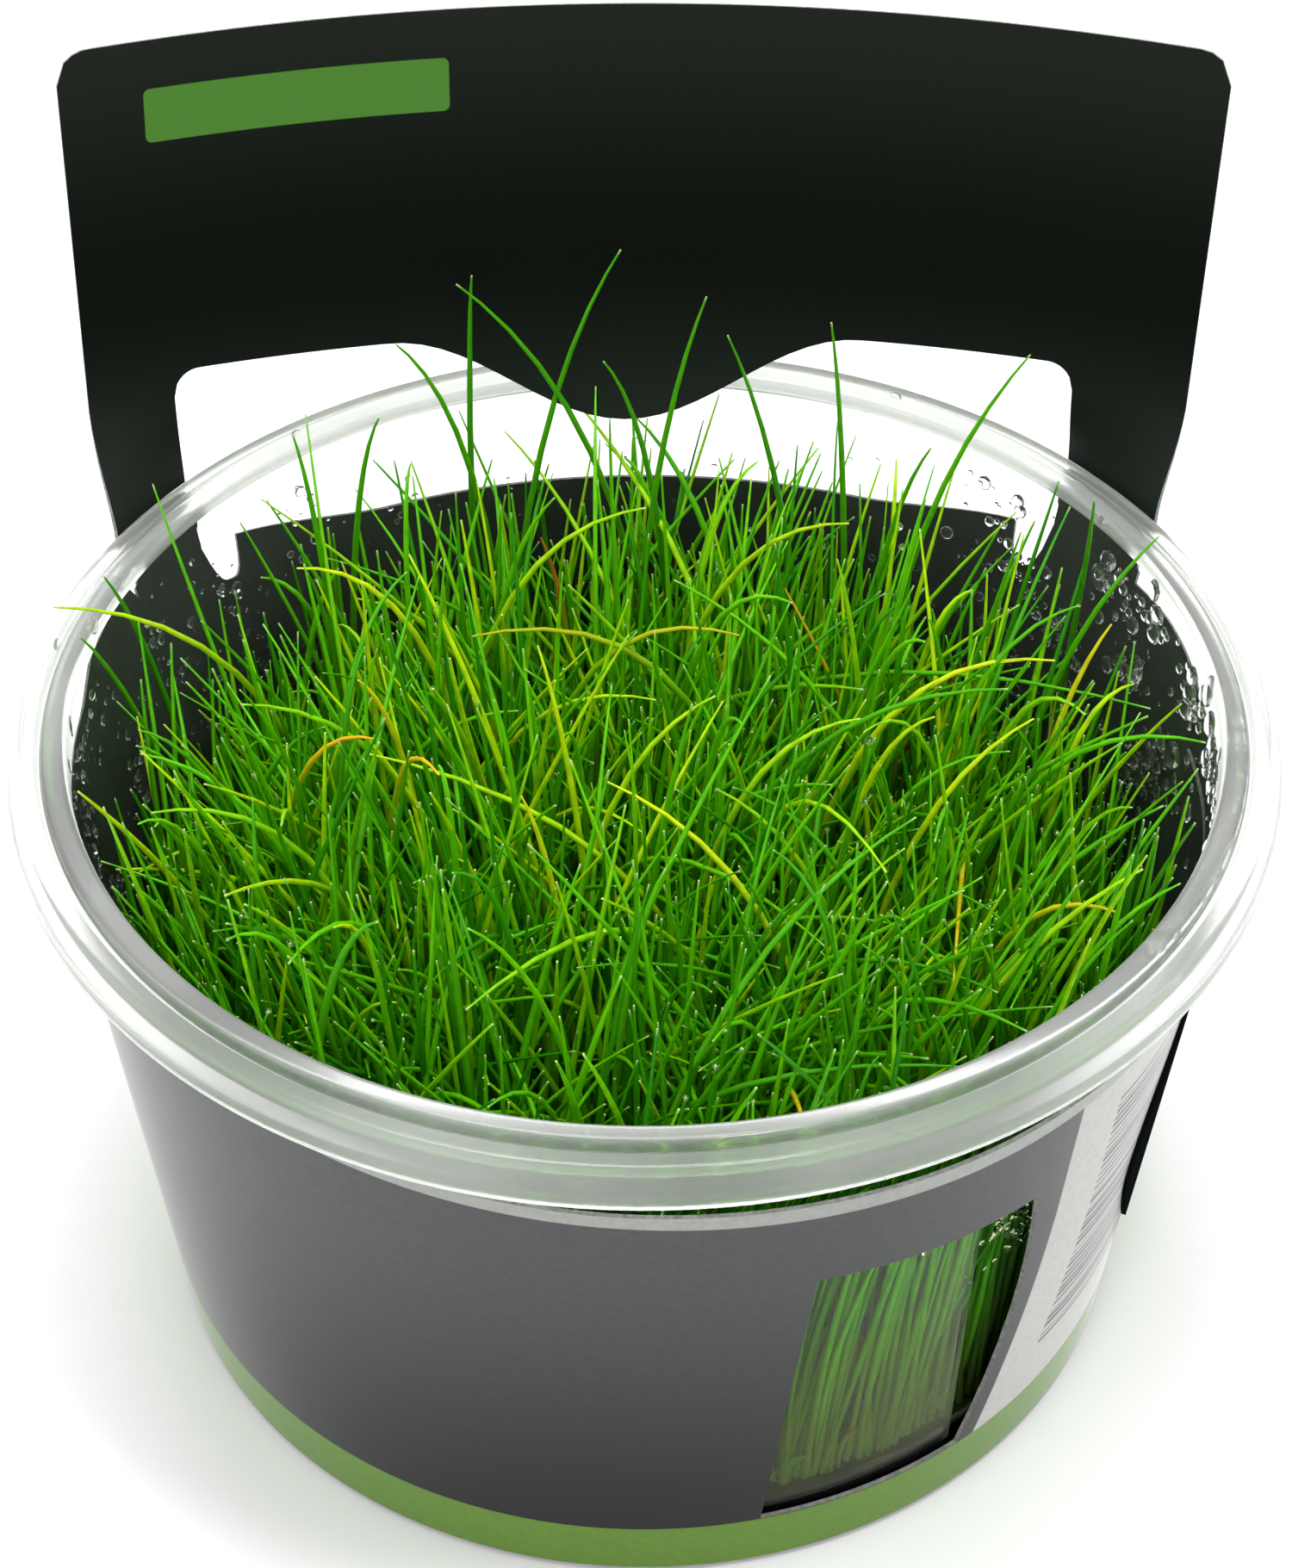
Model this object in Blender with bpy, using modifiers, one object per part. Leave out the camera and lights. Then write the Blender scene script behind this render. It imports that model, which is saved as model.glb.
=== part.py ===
"""Dwarf hairgrass grown in a clear plastic cup, with a printed card sleeve and its raised back panel.

The cup stands on z = 0 with its axis on the world's Z axis. The grass is seven tufts side by side on a
thin bed of growing gel. One card wraps the cup's wall: it starts under its own flap on the right, runs
round the front and the left, and carries at the back two legs that pass outside the rim and hold a
panel over the rear of the mouth. The front of the cup faces -Y. Lengths are in metres.
"""

import math

import bmesh
import bpy
import numpy as np
from mathutils import Vector

MM = 0.001

# Cup: a tapered wall with a stepped flange for a snap lid
RIM_RADIUS = 43.5 * MM
RIM_HEIGHT = 49.0 * MM
BASE_WALL_RADIUS = 34.96 * MM
WALL_TAPER = 0.1123
WALL_THICKNESS = 1.0 * MM
FLOOR_THICKNESS = 1.4 * MM
SKIRT_BOTTOM = 46.1 * MM
SKIRT_THICKNESS = 0.95 * MM
SHOULDER_RADIUS = 42.6 * MM
TURN_STEPS = 40

# Fit between touching pieces
CLEARANCE = 0.3 * MM

# Growing gel
GEL_TOP = 6.0 * MM

# Card sleeve
CARD_THICKNESS = 0.3 * MM
SLEEVE_BOTTOM = 0.6 * MM
BAND_EDGE = 5.7 * MM
WINDOW_TOP = 32.7 * MM
WINDOW_TOP_DROP = 1.1 * MM
WINDOW_SIDES = (-217.1, -192.7)
WINDOW_LEAN = -3.4
FRONT_TOP = 41.9 * MM
FRONT_TOP_SLOPE = 2.4 * MM
INNER_END = -258.0
FLAP_END = 117.5
FLAP_START = 80.0
FLAP_MIDDLE = 21.4 * MM
FLAP_HALF = 20.7 * MM
LAYER_STEP = CLEARANCE + CARD_THICKNESS

# Back of the sleeve: legs, notches, opening and panel (angles in degrees from the back, +X positive)
LEG_OUTER_LEFT, LEG_INNER_LEFT, LEG_INNER_RIGHT, LEG_OUTER_RIGHT = -61.5, -51.4, 46.6, 58.8
LEG_RING_RADIUS = 44.05 * MM
LEG_ROWS = (44.8 * MM, 48.5 * MM, 51.5 * MM, 54.3 * MM)
BACK_BAND_TOP = 39.2 * MM
BACK_BAND_RISE = 2.1 * MM
NOTCH_WIDTH = 3.1 * MM
NOTCH_DEPTH = 3.0 * MM
OPENING_TOP = 58.0 * MM
OPENING_CORNER = 1.9 * MM
BUMP_DEPTH = 6.6 * MM
BUMP_HALF_WIDTH = 17.3 * MM
OPENING_MIDDLE = -1.4 * MM
PANEL_TOP = 81.6 * MM
PANEL_CORNER = 2.2 * MM
PANEL_SEAT = 29.6 * MM
PANEL_LEAN = 0.267
PANEL_CURVE = 4.37
PANEL_FOOT_X = (-40.3 * MM, -34.3 * MM, 31.3 * MM, 39.4 * MM)
PANEL_HEAD_X = (-40.9 * MM, -34.9 * MM, 31.9 * MM, 40.9 * MM)

# Grass: rings of cells, one blade bundle on each cell
CELL_RINGS = 7
CORE_RINGS = 3
BED_RADIUS = 33.9 * MM
MAT_BOTTOM = GEL_TOP + CLEARANCE
MAT_TOP = 10.5 * MM
BLADE_LENGTH = 36.5 * MM
BLADE_SPREAD = 4.6 * MM
BLADE_OUTWARD = 4.8 * MM
BLADE_JITTER = 1.0 * MM
TALL_SHARE = 0.2
TALL_EXTRA = 11.0 * MM
OPENING_FRONT = 23.0 * MM
MIDDLE_SEED = 1
SIDE_SEEDS = (1, 1, 1, 2, 1, 9)

# Longest culms, each by its tip: one hangs over the rim, the others stand by the wall and the panel
LONG_TIPS = (
    (-41.2 * MM, 7.6 * MM, 51.4 * MM),
    (36.4 * MM, 13.4 * MM, 53.2 * MM),
    (-1.8 * MM, 28.4 * MM, 67.0 * MM),
    (-13.5 * MM, 27.0 * MM, 65.2 * MM),
    (4.4 * MM, 24.5 * MM, 65.5 * MM),
    (27.0 * MM, 21.5 * MM, 62.6 * MM),
    (12.8 * MM, 22.5 * MM, 64.5 * MM),
)
LONG_ROOT_SHARE = 0.79
LONG_ARCH = 0.35


def clear_scene():
    """Remove every object of the open scene."""
    for item in list(bpy.data.objects):
        bpy.data.objects.remove(item, do_unlink=True)


def material(name, colour, roughness, alpha=1.0):
    """Return a Principled material with one colour."""
    made = bpy.data.materials.new(name)
    made.use_nodes = True
    shader = made.node_tree.nodes["Principled BSDF"]
    shader.inputs["Base Color"].default_value = (*colour, 1.0)
    shader.inputs["Roughness"].default_value = roughness
    shader.inputs["Metallic"].default_value = 0.0
    shader.inputs["Alpha"].default_value = alpha
    return made


def place(name, mesh, collection, surface):
    """Add one named object to the collection and give it its material."""
    made = bpy.data.objects.new(name, mesh)
    made.data.materials.append(surface)
    collection.objects.link(made)
    return made


def smoothstep(low, high, value):
    """Ease from 0 at low to 1 at high."""
    share = min(max((value - low) / (high - low), 0.0), 1.0)
    return share * share * (3.0 - 2.0 * share)


def wall_radius(height):
    """Outer radius of the cup's wall at a height."""
    return BASE_WALL_RADIUS + WALL_TAPER * height


def turned(name, profile, collection, surface):
    """Turn an open profile, given from the axis and back to it, about Z."""
    mesh = bpy.data.meshes.new(name)
    points = [(radius, 0.0, height) for radius, height in profile]
    mesh.from_pydata(points, [(i, i + 1) for i in range(len(points) - 1)], [])
    made = place(name, mesh, collection, surface)
    screw = made.modifiers.new("Turn", "SCREW")
    screw.angle = math.tau
    screw.steps = TURN_STEPS
    screw.render_steps = TURN_STEPS
    screw.use_merge_vertices = True
    screw.merge_threshold = 0.00005
    screw.use_smooth_shade = True
    return made


def arc(centre, radius, start, stop, count):
    """Points of an arc in the profile plane, angles in degrees."""
    steps = [math.radians(start + (stop - start) * i / count) for i in range(count + 1)]
    return [(centre[0] + radius * math.cos(a), centre[1] + radius * math.sin(a)) for a in steps]


def cup_profile():
    """Cup profile: up the inside, over the stepped flange, down the skirt and the wall to the base."""
    inner = wall_radius(0.0) - WALL_THICKNESS
    corner = 1.9 * MM
    bead = wall_radius(RIM_HEIGHT) - 0.4 * MM
    base_corner = 1.6 * MM
    skirt_inner = RIM_RADIUS - SKIRT_THICKNESS
    points = [(0.0, FLOOR_THICKNESS)]
    points += arc((inner - corner + 0.2 * MM, FLOOR_THICKNESS + corner), corner, -90, 0, 2)
    points += [(inner + WALL_TAPER * (RIM_HEIGHT - 3 * MM), RIM_HEIGHT - 3 * MM)]
    points += arc((bead, RIM_HEIGHT - 0.5 * MM), 0.9 * MM, 180, 20, 4)
    points += [(bead + 1.0 * MM, RIM_HEIGHT - 0.5 * MM), (bead + 1.4 * MM, RIM_HEIGHT)]
    points += [(SHOULDER_RADIUS, RIM_HEIGHT), (RIM_RADIUS, RIM_HEIGHT - 1.5 * MM)]
    points += [(RIM_RADIUS, SKIRT_BOTTOM), (skirt_inner, SKIRT_BOTTOM)]
    points += [(skirt_inner - 0.3 * MM, RIM_HEIGHT - 1.2 * MM)]
    points += [(wall_radius(RIM_HEIGHT) + 0.2 * MM, RIM_HEIGHT - 1.2 * MM)]
    points += [(wall_radius(RIM_HEIGHT - 2 * MM), RIM_HEIGHT - 2 * MM)]
    points += arc((wall_radius(base_corner) - base_corner, base_corner), base_corner, 0, -90, 2)
    points += [(0.0, 0.0)]
    return points


def gel_profile():
    """Gel disc: flat top, tapered side with a small fillet to the cup's floor."""
    inner = wall_radius(0.0) - WALL_THICKNESS - CLEARANCE
    bottom = FLOOR_THICKNESS + CLEARANCE
    return [(0.0, GEL_TOP), (inner + WALL_TAPER * GEL_TOP, GEL_TOP), (inner, bottom + 2.0 * MM),
            (inner - 2.0 * MM, bottom), (0.0, bottom)]


def leg_lift(angle):
    """How far the card follows the legs off the wall: 1 on the legs, 0 away from them."""
    if angle < 0:
        inner, outer, far = -LEG_INNER_LEFT, -LEG_OUTER_LEFT, 24.0
    else:
        inner, outer, far = LEG_INNER_RIGHT, LEG_OUTER_RIGHT, 32.0
    size = abs(angle)
    return smoothstep(inner - 22.0, inner - 2.0, size) * (1.0 - smoothstep(outer + 2.0, outer + far, size))


def card_radius(angle, height):
    """Radius of the card's middle where it runs round the cup: on the wall, and off it at the legs."""
    layer = smoothstep(62.0, 84.0, angle) * LAYER_STEP
    snug = wall_radius(height) + CLEARANCE + CARD_THICKNESS / 2 + layer
    rise = smoothstep(WINDOW_TOP - 2 * MM, 46.0 * MM, height) * leg_lift(angle)
    return snug + rise * max(LEG_RING_RADIUS - snug, 0.0)


def on_ring(angle, height):
    """Point of the card round the cup."""
    radius = card_radius(angle, height)
    turn = math.radians(angle)
    return Vector((radius * math.sin(turn), radius * math.cos(turn), height))


def on_panel(x, height):
    """Point of the raised panel, which leans back and curves slightly forward at its sides."""
    y = PANEL_SEAT + PANEL_LEAN * (height - RIM_HEIGHT) - PANEL_CURVE * x * x
    return Vector((x, y, height))


def panel_stations(height):
    """X of the legs' outer and inner edges at a height of the panel."""
    share = (height - OPENING_TOP) / (PANEL_TOP - OPENING_TOP)
    return [foot + (head - foot) * share for foot, head in zip(PANEL_FOOT_X, PANEL_HEAD_X)]


def spread(start, stop, count):
    """Count evenly spaced values from start up to but not including stop."""
    return [start + (stop - start) * i / count for i in range(count)]


def card_columns():
    """Columns of the card as (zone, share or angle): outside the legs, on them and between them."""
    notch = [0.0, 0.08, 0.26, 0.5, 0.74, 0.92, 1.0]
    notch_angle = math.degrees(NOTCH_WIDTH / wall_radius(BACK_BAND_TOP))
    edge = [0.0, 0.05, 0.14, 0.31, 0.62]
    left = spread(INNER_END, WINDOW_SIDES[0], 5) + spread(WINDOW_SIDES[0], WINDOW_SIDES[1], 4)
    left += spread(WINDOW_SIDES[1], LEG_OUTER_LEFT, 17)
    columns = [("band", angle) for angle in left]
    columns += [("left leg", share) for share in edge]
    columns += [("gap", LEG_INNER_LEFT + notch_angle * share) for share in notch]
    inside = spread(LEG_INNER_LEFT + notch_angle, LEG_INNER_RIGHT - notch_angle, 12)[1:]
    columns += [("gap", angle) for angle in inside]
    columns += [("gap", LEG_INNER_RIGHT - notch_angle * share) for share in reversed(notch)]
    columns += [("right leg", 1.0 - share) for share in reversed(edge)]
    flap = [0.0, 0.2, 0.4, 0.58, 0.73, 0.85, 0.93, 0.98]
    columns += [("band", angle) for angle in (64.0, 71.0)]
    columns += [("band", FLAP_START + (FLAP_END - FLAP_START) * share) for share in flap]
    return columns


def column_angle(column):
    """Angle of a column where it runs round the cup."""
    zone, value = column
    if zone == "left leg":
        return LEG_OUTER_LEFT + (LEG_INNER_LEFT - LEG_OUTER_LEFT) * value
    if zone == "right leg":
        return LEG_INNER_RIGHT + (LEG_OUTER_RIGHT - LEG_INNER_RIGHT) * value
    return value


def column_x(column, height):
    """X of a column on the panel."""
    zone, value = column
    outer_left, inner_left, inner_right, outer_right = panel_stations(height)
    if zone == "left leg":
        return outer_left + (inner_left - outer_left) * value
    if zone == "right leg":
        return inner_right + (outer_right - inner_right) * value
    share = (value - LEG_INNER_LEFT) / (LEG_INNER_RIGHT - LEG_INNER_LEFT)
    return inner_left + (inner_right - inner_left) * share


def corner_drop(distance, radius):
    """Drop of a rounded corner at a distance from the straight side."""
    if distance >= radius:
        return 0.0
    return radius - math.sqrt(max(radius * radius - (radius - distance) ** 2, 0.0))


def band_top(column):
    """Upper edge of the card round the cup."""
    zone, _ = column
    angle = column_angle(column)
    if angle < LEG_OUTER_LEFT:
        return FRONT_TOP + FRONT_TOP_SLOPE * math.sin(math.radians(angle + 180.0))
    if zone == "gap":
        edge = BACK_BAND_TOP + BACK_BAND_RISE * (angle / LEG_INNER_RIGHT) ** 2
        side = min(angle - LEG_INNER_LEFT, LEG_INNER_RIGHT - angle)
        share = math.radians(side) * wall_radius(BACK_BAND_TOP) / NOTCH_WIDTH
        if share < 1.0:
            edge -= NOTCH_DEPTH * (1.0 - abs(2.0 * share - 1.0) ** 3.5)
        return edge
    if angle > FLAP_START:
        reach = (angle - FLAP_START) / (FLAP_END - FLAP_START)
        return FLAP_MIDDLE + FLAP_HALF * math.sqrt(1.0 - reach * reach)
    return FLAP_MIDDLE + FLAP_HALF


def band_bottom(column):
    """Lower edge of the card round the cup."""
    angle = column_angle(column)
    if angle > FLAP_START:
        reach = (angle - FLAP_START) / (FLAP_END - FLAP_START)
        return FLAP_MIDDLE - (FLAP_MIDDLE - SLEEVE_BOTTOM) * math.sqrt(1.0 - reach * reach)
    return SLEEVE_BOTTOM


def panel_bottom(column):
    """Upper edge of the opening, with its bump in the middle and its rounded corners."""
    x = column_x(column, OPENING_TOP)
    away = abs(x - OPENING_MIDDLE) / BUMP_HALF_WIDTH
    edge = OPENING_TOP
    if away < 1.0:
        edge -= BUMP_DEPTH * 0.5 * (1.0 + math.cos(math.pi * away))
    side = min(x - PANEL_FOOT_X[1], PANEL_FOOT_X[2] - x)
    return edge - corner_drop(side, OPENING_CORNER)


def panel_top(column):
    """Upper edge of the panel, with its rounded corners."""
    x = column_x(column, PANEL_TOP)
    return PANEL_TOP - corner_drop(min(x - PANEL_HEAD_X[0], PANEL_HEAD_X[3] - x), PANEL_CORNER)


def band_points(column):
    """Points of one column round the cup, from the lower edge to the upper one."""
    angle = column_angle(column)
    low = band_bottom(column)
    high = band_top(column)
    across = (angle - WINDOW_SIDES[0]) / (WINDOW_SIDES[1] - WINDOW_SIDES[0])
    near = max(1.0 - abs(across - 0.5) / 1.1, 0.0) if angle < LEG_OUTER_LEFT else 0.0
    lean = WINDOW_LEAN * min(near * 2.0, 1.0)
    window_top = WINDOW_TOP + WINDOW_TOP_DROP * (across - 0.5) if near else WINDOW_TOP
    heights = [low, BAND_EDGE, window_top, high]
    if column[0] == "band" and angle > FLAP_START:
        heights = [low + (high - low) * share for share in (0.0, 0.125, 0.775, 1.0)]
    tilts = [lean * (height - BAND_EDGE) / (WINDOW_TOP - BAND_EDGE) for height in heights]
    return [on_ring(angle + tilt, height) for height, tilt in zip(heights, tilts)]


def leg_points(column):
    """Points of one column of a leg, from the card round the cup up to the panel."""
    points = []
    for height in LEG_ROWS:
        share = smoothstep(47.0 * MM, 56.5 * MM, height)
        ring = on_ring(column_angle(column), height)
        panel = on_panel(column_x(column, height), height)
        points.append(ring.lerp(panel, share))
    return points


def panel_points(column):
    """Points of one column of the panel, from the opening's edge to the top."""
    low = panel_bottom(column) if column[0] == "gap" else OPENING_TOP - OPENING_CORNER
    high = panel_top(column)
    heights = [low + (high - low) * share for share in (0.0, 0.12, 0.4, 0.8, 1.0)]
    return [on_panel(column_x(column, height), height) for height in heights]


def sleeve_mesh():
    """The card's middle surface: strips of faces between neighbouring columns."""
    made = bmesh.new()
    columns = card_columns()
    rows = []
    for index, column in enumerate(columns):
        zone = column[0]
        edge_of_leg = zone == "gap" and column_angle(column) in (LEG_INNER_LEFT, LEG_INNER_RIGHT)
        outer_edge = zone == "left leg" or zone == "right leg" or edge_of_leg
        band = [made.verts.new(point) for point in band_points(column)]
        leg = [made.verts.new(point) for point in leg_points(column)] if outer_edge else []
        panel = [made.verts.new(point) for point in panel_points(column)] if zone != "band" else []
        rows.append((band, leg, panel, columns[index]))
    for here, there in zip(rows, rows[1:]):
        windowed = WINDOW_SIDES[0] - 0.01 <= column_angle(here[3]) < WINDOW_SIDES[1] - 0.01
        for row in range(len(here[0]) - 1):
            if windowed and row == 1:
                continue
            made.faces.new((here[0][row], there[0][row], there[0][row + 1], here[0][row + 1]))
        if here[1] and there[1]:
            first = [here[0][-1]] + here[1] + [here[2][0]]
            second = [there[0][-1]] + there[1] + [there[2][0]]
            for row in range(len(first) - 1):
                made.faces.new((first[row], second[row], second[row + 1], first[row + 1]))
        if here[2] and there[2]:
            for row in range(len(here[2]) - 1):
                made.faces.new((here[2][row], there[2][row], there[2][row + 1], here[2][row + 1]))
    mesh = bpy.data.meshes.new("card_sleeve")
    made.to_mesh(mesh)
    made.free()
    return mesh


def card_sleeve(collection, surface):
    """The card as a sheet of even thickness."""
    made = place("card_sleeve", sleeve_mesh(), collection, surface)
    made.data.shade_smooth()
    solidify = made.modifiers.new("Thickness", "SOLIDIFY")
    solidify.thickness = CARD_THICKNESS
    solidify.offset = 0.0
    solidify.use_even_offset = True
    return made


def bed_point(ring, step):
    """Corner of the grass cells: ring 0 is the middle, ring n has 6 n corners."""
    if ring == 0:
        return Vector((0.0, 0.0, 0.0))
    turn = math.tau * step / (6 * ring) + math.pi / 6
    radius = BED_RADIUS * ring / CELL_RINGS
    return Vector((radius * math.sin(turn), radius * math.cos(turn), 0.0))


def bed_cells(sector, first_ring, last_ring):
    """Triangles of one 60 degree sector between two rings, as triples of (ring, step)."""
    cells = []
    for ring in range(first_ring, last_ring):
        inner = [(ring, sector * ring + i) for i in range(ring + 1)]
        outer = [(ring + 1, sector * (ring + 1) + i) for i in range(ring + 2)]
        for i in range(ring + 1):
            cells.append((inner[i], outer[i + 1], outer[i]))
        for i in range(ring):
            cells.append((inner[i], inner[i + 1], outer[i + 1]))
    return cells


def tuft_corner(key, sector, draws):
    """Place of a cell corner on the mat, drawn in a little from the neighbouring tufts."""
    ring, step = key
    point = bed_point(ring, step)
    if ring < CELL_RINGS and ring > 0:
        point += Vector((*draws.uniform(-0.5 * MM, 0.5 * MM, 2), 0.0)) * (0.0 if ring == CORE_RINGS else 1.0)
    inset = CLEARANCE * 0.75
    if sector is None:
        return point * (1.0 - inset / point.length) if ring == CORE_RINGS else point
    if ring == CORE_RINGS:
        point = point * (1.0 + inset / point.length)
    middle = math.tau * (sector + 0.5) / 6 + math.pi / 6
    side = step - sector * ring
    if side in (0, ring):
        point = bed_point(ring, step) * (1.0 + (inset / BED_RADIUS if ring == CORE_RINGS else 0.0))
        across = Vector((math.cos(middle), -math.sin(middle), 0.0))
        point += across * (inset * 1.2 if side == 0 else -inset * 1.2)
    return point


def lean_field(x, y):
    """How far the blades lean at a place on the bed: in slow waves, and outward near the wall."""
    wave_x = math.sin(0.11 * x / MM + 1.3) + 0.6 * math.sin(0.17 * y / MM + 0.4)
    wave_y = math.sin(0.12 * y / MM - 0.7) + 0.6 * math.sin(0.15 * x / MM + 2.1)
    waves = Vector((wave_x, wave_y, 0.0)) * 0.5 * BLADE_SPREAD
    return waves + Vector((x, y, 0.0)) * (BLADE_OUTWARD / BED_RADIUS)


def cell_middle(cell):
    """Middle of a cell on the bed."""
    return sum((bed_point(ring, step) for ring, step in cell), Vector((0.0, 0.0, 0.0))) / 3


def long_blades(cells):
    """The tips of the long culms that root on some of these cells, by cell."""
    every_cell = [cell for side in range(6) for cell in bed_cells(side, 0, CELL_RINGS)]
    found = {}
    for x, y, z in LONG_TIPS:
        root = Vector((x, y, 0.0)) * LONG_ROOT_SHARE
        nearest = min(every_cell, key=lambda cell: (cell_middle(cell) - root).length)
        if nearest in cells:
            found[nearest] = Vector((x, y, z))
    return found


def add_ring(made, corners, foot, centre, scale, last):
    """Add a ring like the cell at a smaller scale, and join it to the last one."""
    ring = []
    for corner in corners:
        arm = (corner.co - foot) * scale
        ring.append(made.verts.new(centre + Vector((arm.x, arm.y, 0.0))))
    for i in range(3):
        j = (i + 1) % 3
        made.faces.new((last[i], last[j], ring[j], ring[i]))
    return ring


def close_tip(made, last, tip):
    """Close a blade from its last ring to its tip."""
    top = made.verts.new(tip)
    for i in range(3):
        made.faces.new((last[i], last[(i + 1) % 3], top))


def long_blade(made, corners, tip):
    """Raise one long culm on a cell: it stands up first and then arches over to its tip."""
    foot = (corners[0].co + corners[1].co + corners[2].co) / 3
    bend = foot + (tip - foot) * LONG_ARCH
    bend.z = foot.z + (tip.z - foot.z) * (1.25 if tip.z < RIM_HEIGHT + 3 * MM else 0.75)
    last = corners
    for share, scale in ((0.25, 0.5), (0.5, 0.24), (0.78, 0.12)):
        back = 1.0 - share
        centre = foot * back * back + bend * 2.0 * share * back + tip * share * share
        last = add_ring(made, corners, foot, centre, scale, last)
    close_tip(made, last, tip)


def blade(made, corners, draws):
    """Raise one blade bundle on a cell: two narrowing rings and a tip on a curved path."""
    foot = (corners[0].co + corners[1].co + corners[2].co) / 3
    tall = TALL_EXTRA * draws.uniform(0.5, 1.0) if draws.uniform() < TALL_SHARE else 0.0
    length = BLADE_LENGTH * draws.uniform(0.82, 1.16) + tall
    lean = lean_field(foot.x, foot.y)
    if foot.y + lean.y > OPENING_FRONT:
        length = min(length, RIM_HEIGHT - foot.z)
    jitter = Vector((*draws.uniform(-BLADE_JITTER, BLADE_JITTER, 2), 0.0))
    tip = foot + lean + jitter + Vector((0.0, 0.0, length))
    limit = wall_radius(min(tip.z, RIM_HEIGHT - 4 * MM)) - WALL_THICKNESS - 1.0 * MM
    flat = math.hypot(tip.x, tip.y)
    if flat > limit:
        tip.x *= limit / flat
        tip.y *= limit / flat
    last = corners
    for share, scale in ((0.33, 0.5), (0.7, 0.24)):
        bow = share ** 1.5
        centre = foot + (tip - foot) * bow
        centre.z = foot.z + length * share
        last = add_ring(made, corners, foot, centre, scale, last)
    close_tip(made, last, tip)


def tuft(name, sector, collection, surface):
    """One tuft: a root mat with a flat underside, and a blade bundle on each of its cells."""
    draws = np.random.RandomState(MIDDLE_SEED if sector is None else SIDE_SEEDS[sector])
    if sector is None:
        cells = [cell for side in range(6) for cell in bed_cells(side, 0, CORE_RINGS)]
    else:
        cells = bed_cells(sector, CORE_RINGS, CELL_RINGS)
    made = bmesh.new()
    upper = {}
    lower = {}
    for cell in cells:
        for ring, step in cell:
            key = (ring, step % max(6 * ring, 1)) if sector is None else (ring, step)
            if key in upper:
                continue
            point = tuft_corner(key, sector, draws)
            rise = draws.uniform(-0.8 * MM, 0.8 * MM)
            upper[key] = made.verts.new(point + Vector((0.0, 0.0, MAT_TOP + rise)))
            lower[key] = made.verts.new(point + Vector((0.0, 0.0, MAT_BOTTOM)))
    sides = {}
    long_ones = long_blades(cells)
    for cell in cells:
        keys = [(ring, step % max(6 * ring, 1)) if sector is None else (ring, step) for ring, step in cell]
        if cell in long_ones:
            long_blade(made, [upper[key] for key in keys], long_ones[cell])
        else:
            blade(made, [upper[key] for key in keys], draws)
        made.faces.new([lower[key] for key in reversed(keys)])
        for i in range(3):
            edge = (keys[i], keys[(i + 1) % 3])
            if (edge[1], edge[0]) in sides:
                del sides[(edge[1], edge[0])]
            else:
                sides[edge] = True
    for start, stop in sides:
        made.faces.new((lower[start], lower[stop], upper[stop], upper[start]))
    bmesh.ops.recalc_face_normals(made, faces=made.faces)
    mesh = bpy.data.meshes.new(name)
    made.to_mesh(mesh)
    made.free()
    return place(name, mesh, collection, surface)


def build():
    """Build the cup, the gel, the sleeve and the seven tufts."""
    clear_scene()
    collection = bpy.data.collections.new("dwarf_hairgrass")
    bpy.context.scene.collection.children.link(collection)
    clear = material("clear_plastic", (0.86, 0.88, 0.86), 0.12, 0.35)
    jelly = material("growing_gel", (0.62, 0.60, 0.42), 0.25)
    card = material("printed_card", (0.045, 0.048, 0.050), 0.45)
    green = material("grass_green", (0.10, 0.36, 0.03), 0.42)
    turned("cup", cup_profile(), collection, clear)
    turned("gel", gel_profile(), collection, jelly)
    card_sleeve(collection, card)
    tuft("tuft_middle", None, collection, green)
    for sector in range(6):
        tuft(f"tuft_{sector + 1}", sector, collection, green)


build()
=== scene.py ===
"""Looks of dwarf hairgrass in its clear growing cup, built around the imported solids.

The cup stands on z = 0 with its axis on the world's Z axis and its printed front facing -Y. Lengths are in
metres, angles on the card are in degrees from the back, and every piece rides on the one body, root.
"""

from __future__ import annotations

import logging
import math
from dataclasses import dataclass
from enum import Enum

import bmesh
import bpy
import numpy as np
from mathutils import Matrix, Vector, noise

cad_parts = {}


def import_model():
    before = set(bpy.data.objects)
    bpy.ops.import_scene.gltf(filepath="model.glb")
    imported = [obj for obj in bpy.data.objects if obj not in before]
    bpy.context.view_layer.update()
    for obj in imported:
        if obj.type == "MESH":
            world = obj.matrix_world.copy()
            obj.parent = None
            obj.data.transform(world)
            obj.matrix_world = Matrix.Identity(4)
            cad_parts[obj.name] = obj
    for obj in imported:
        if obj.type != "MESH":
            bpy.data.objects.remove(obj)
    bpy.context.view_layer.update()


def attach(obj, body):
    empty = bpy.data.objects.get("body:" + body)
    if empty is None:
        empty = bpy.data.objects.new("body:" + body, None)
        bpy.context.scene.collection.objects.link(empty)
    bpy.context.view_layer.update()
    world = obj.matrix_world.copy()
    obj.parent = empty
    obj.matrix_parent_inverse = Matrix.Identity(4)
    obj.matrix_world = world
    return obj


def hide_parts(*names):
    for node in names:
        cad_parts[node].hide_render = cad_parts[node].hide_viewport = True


LOG = logging.getLogger("dwarf_hairgrass")
MM = 0.001
BODY = "root"
MAP_ACROSS = 100.0
MAP_UP = 10.0
ANGLE_SLACK = 0.01
DROP_SHAPE = {"Segments": 8, "Rings": 5, "Radius": 1.0}

Colour = tuple[float, float, float, float]
Triple = tuple[float, float, float]
Profile = list[Triple]
Socket = bpy.types.NodeSocket
Node = bpy.types.Node
Tree = bpy.types.NodeTree
Piece = bpy.types.Object
Feeds = dict[str, Socket]
Values = tuple[tuple[str, float], ...]
Pair = tuple[float, float]


class Slot(Enum):
    """The record's material slots."""

    CLEAR = "clear_plastic"
    GEL = "growing_gel"
    CARD = "printed_card"
    GRASS = "grass"


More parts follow.
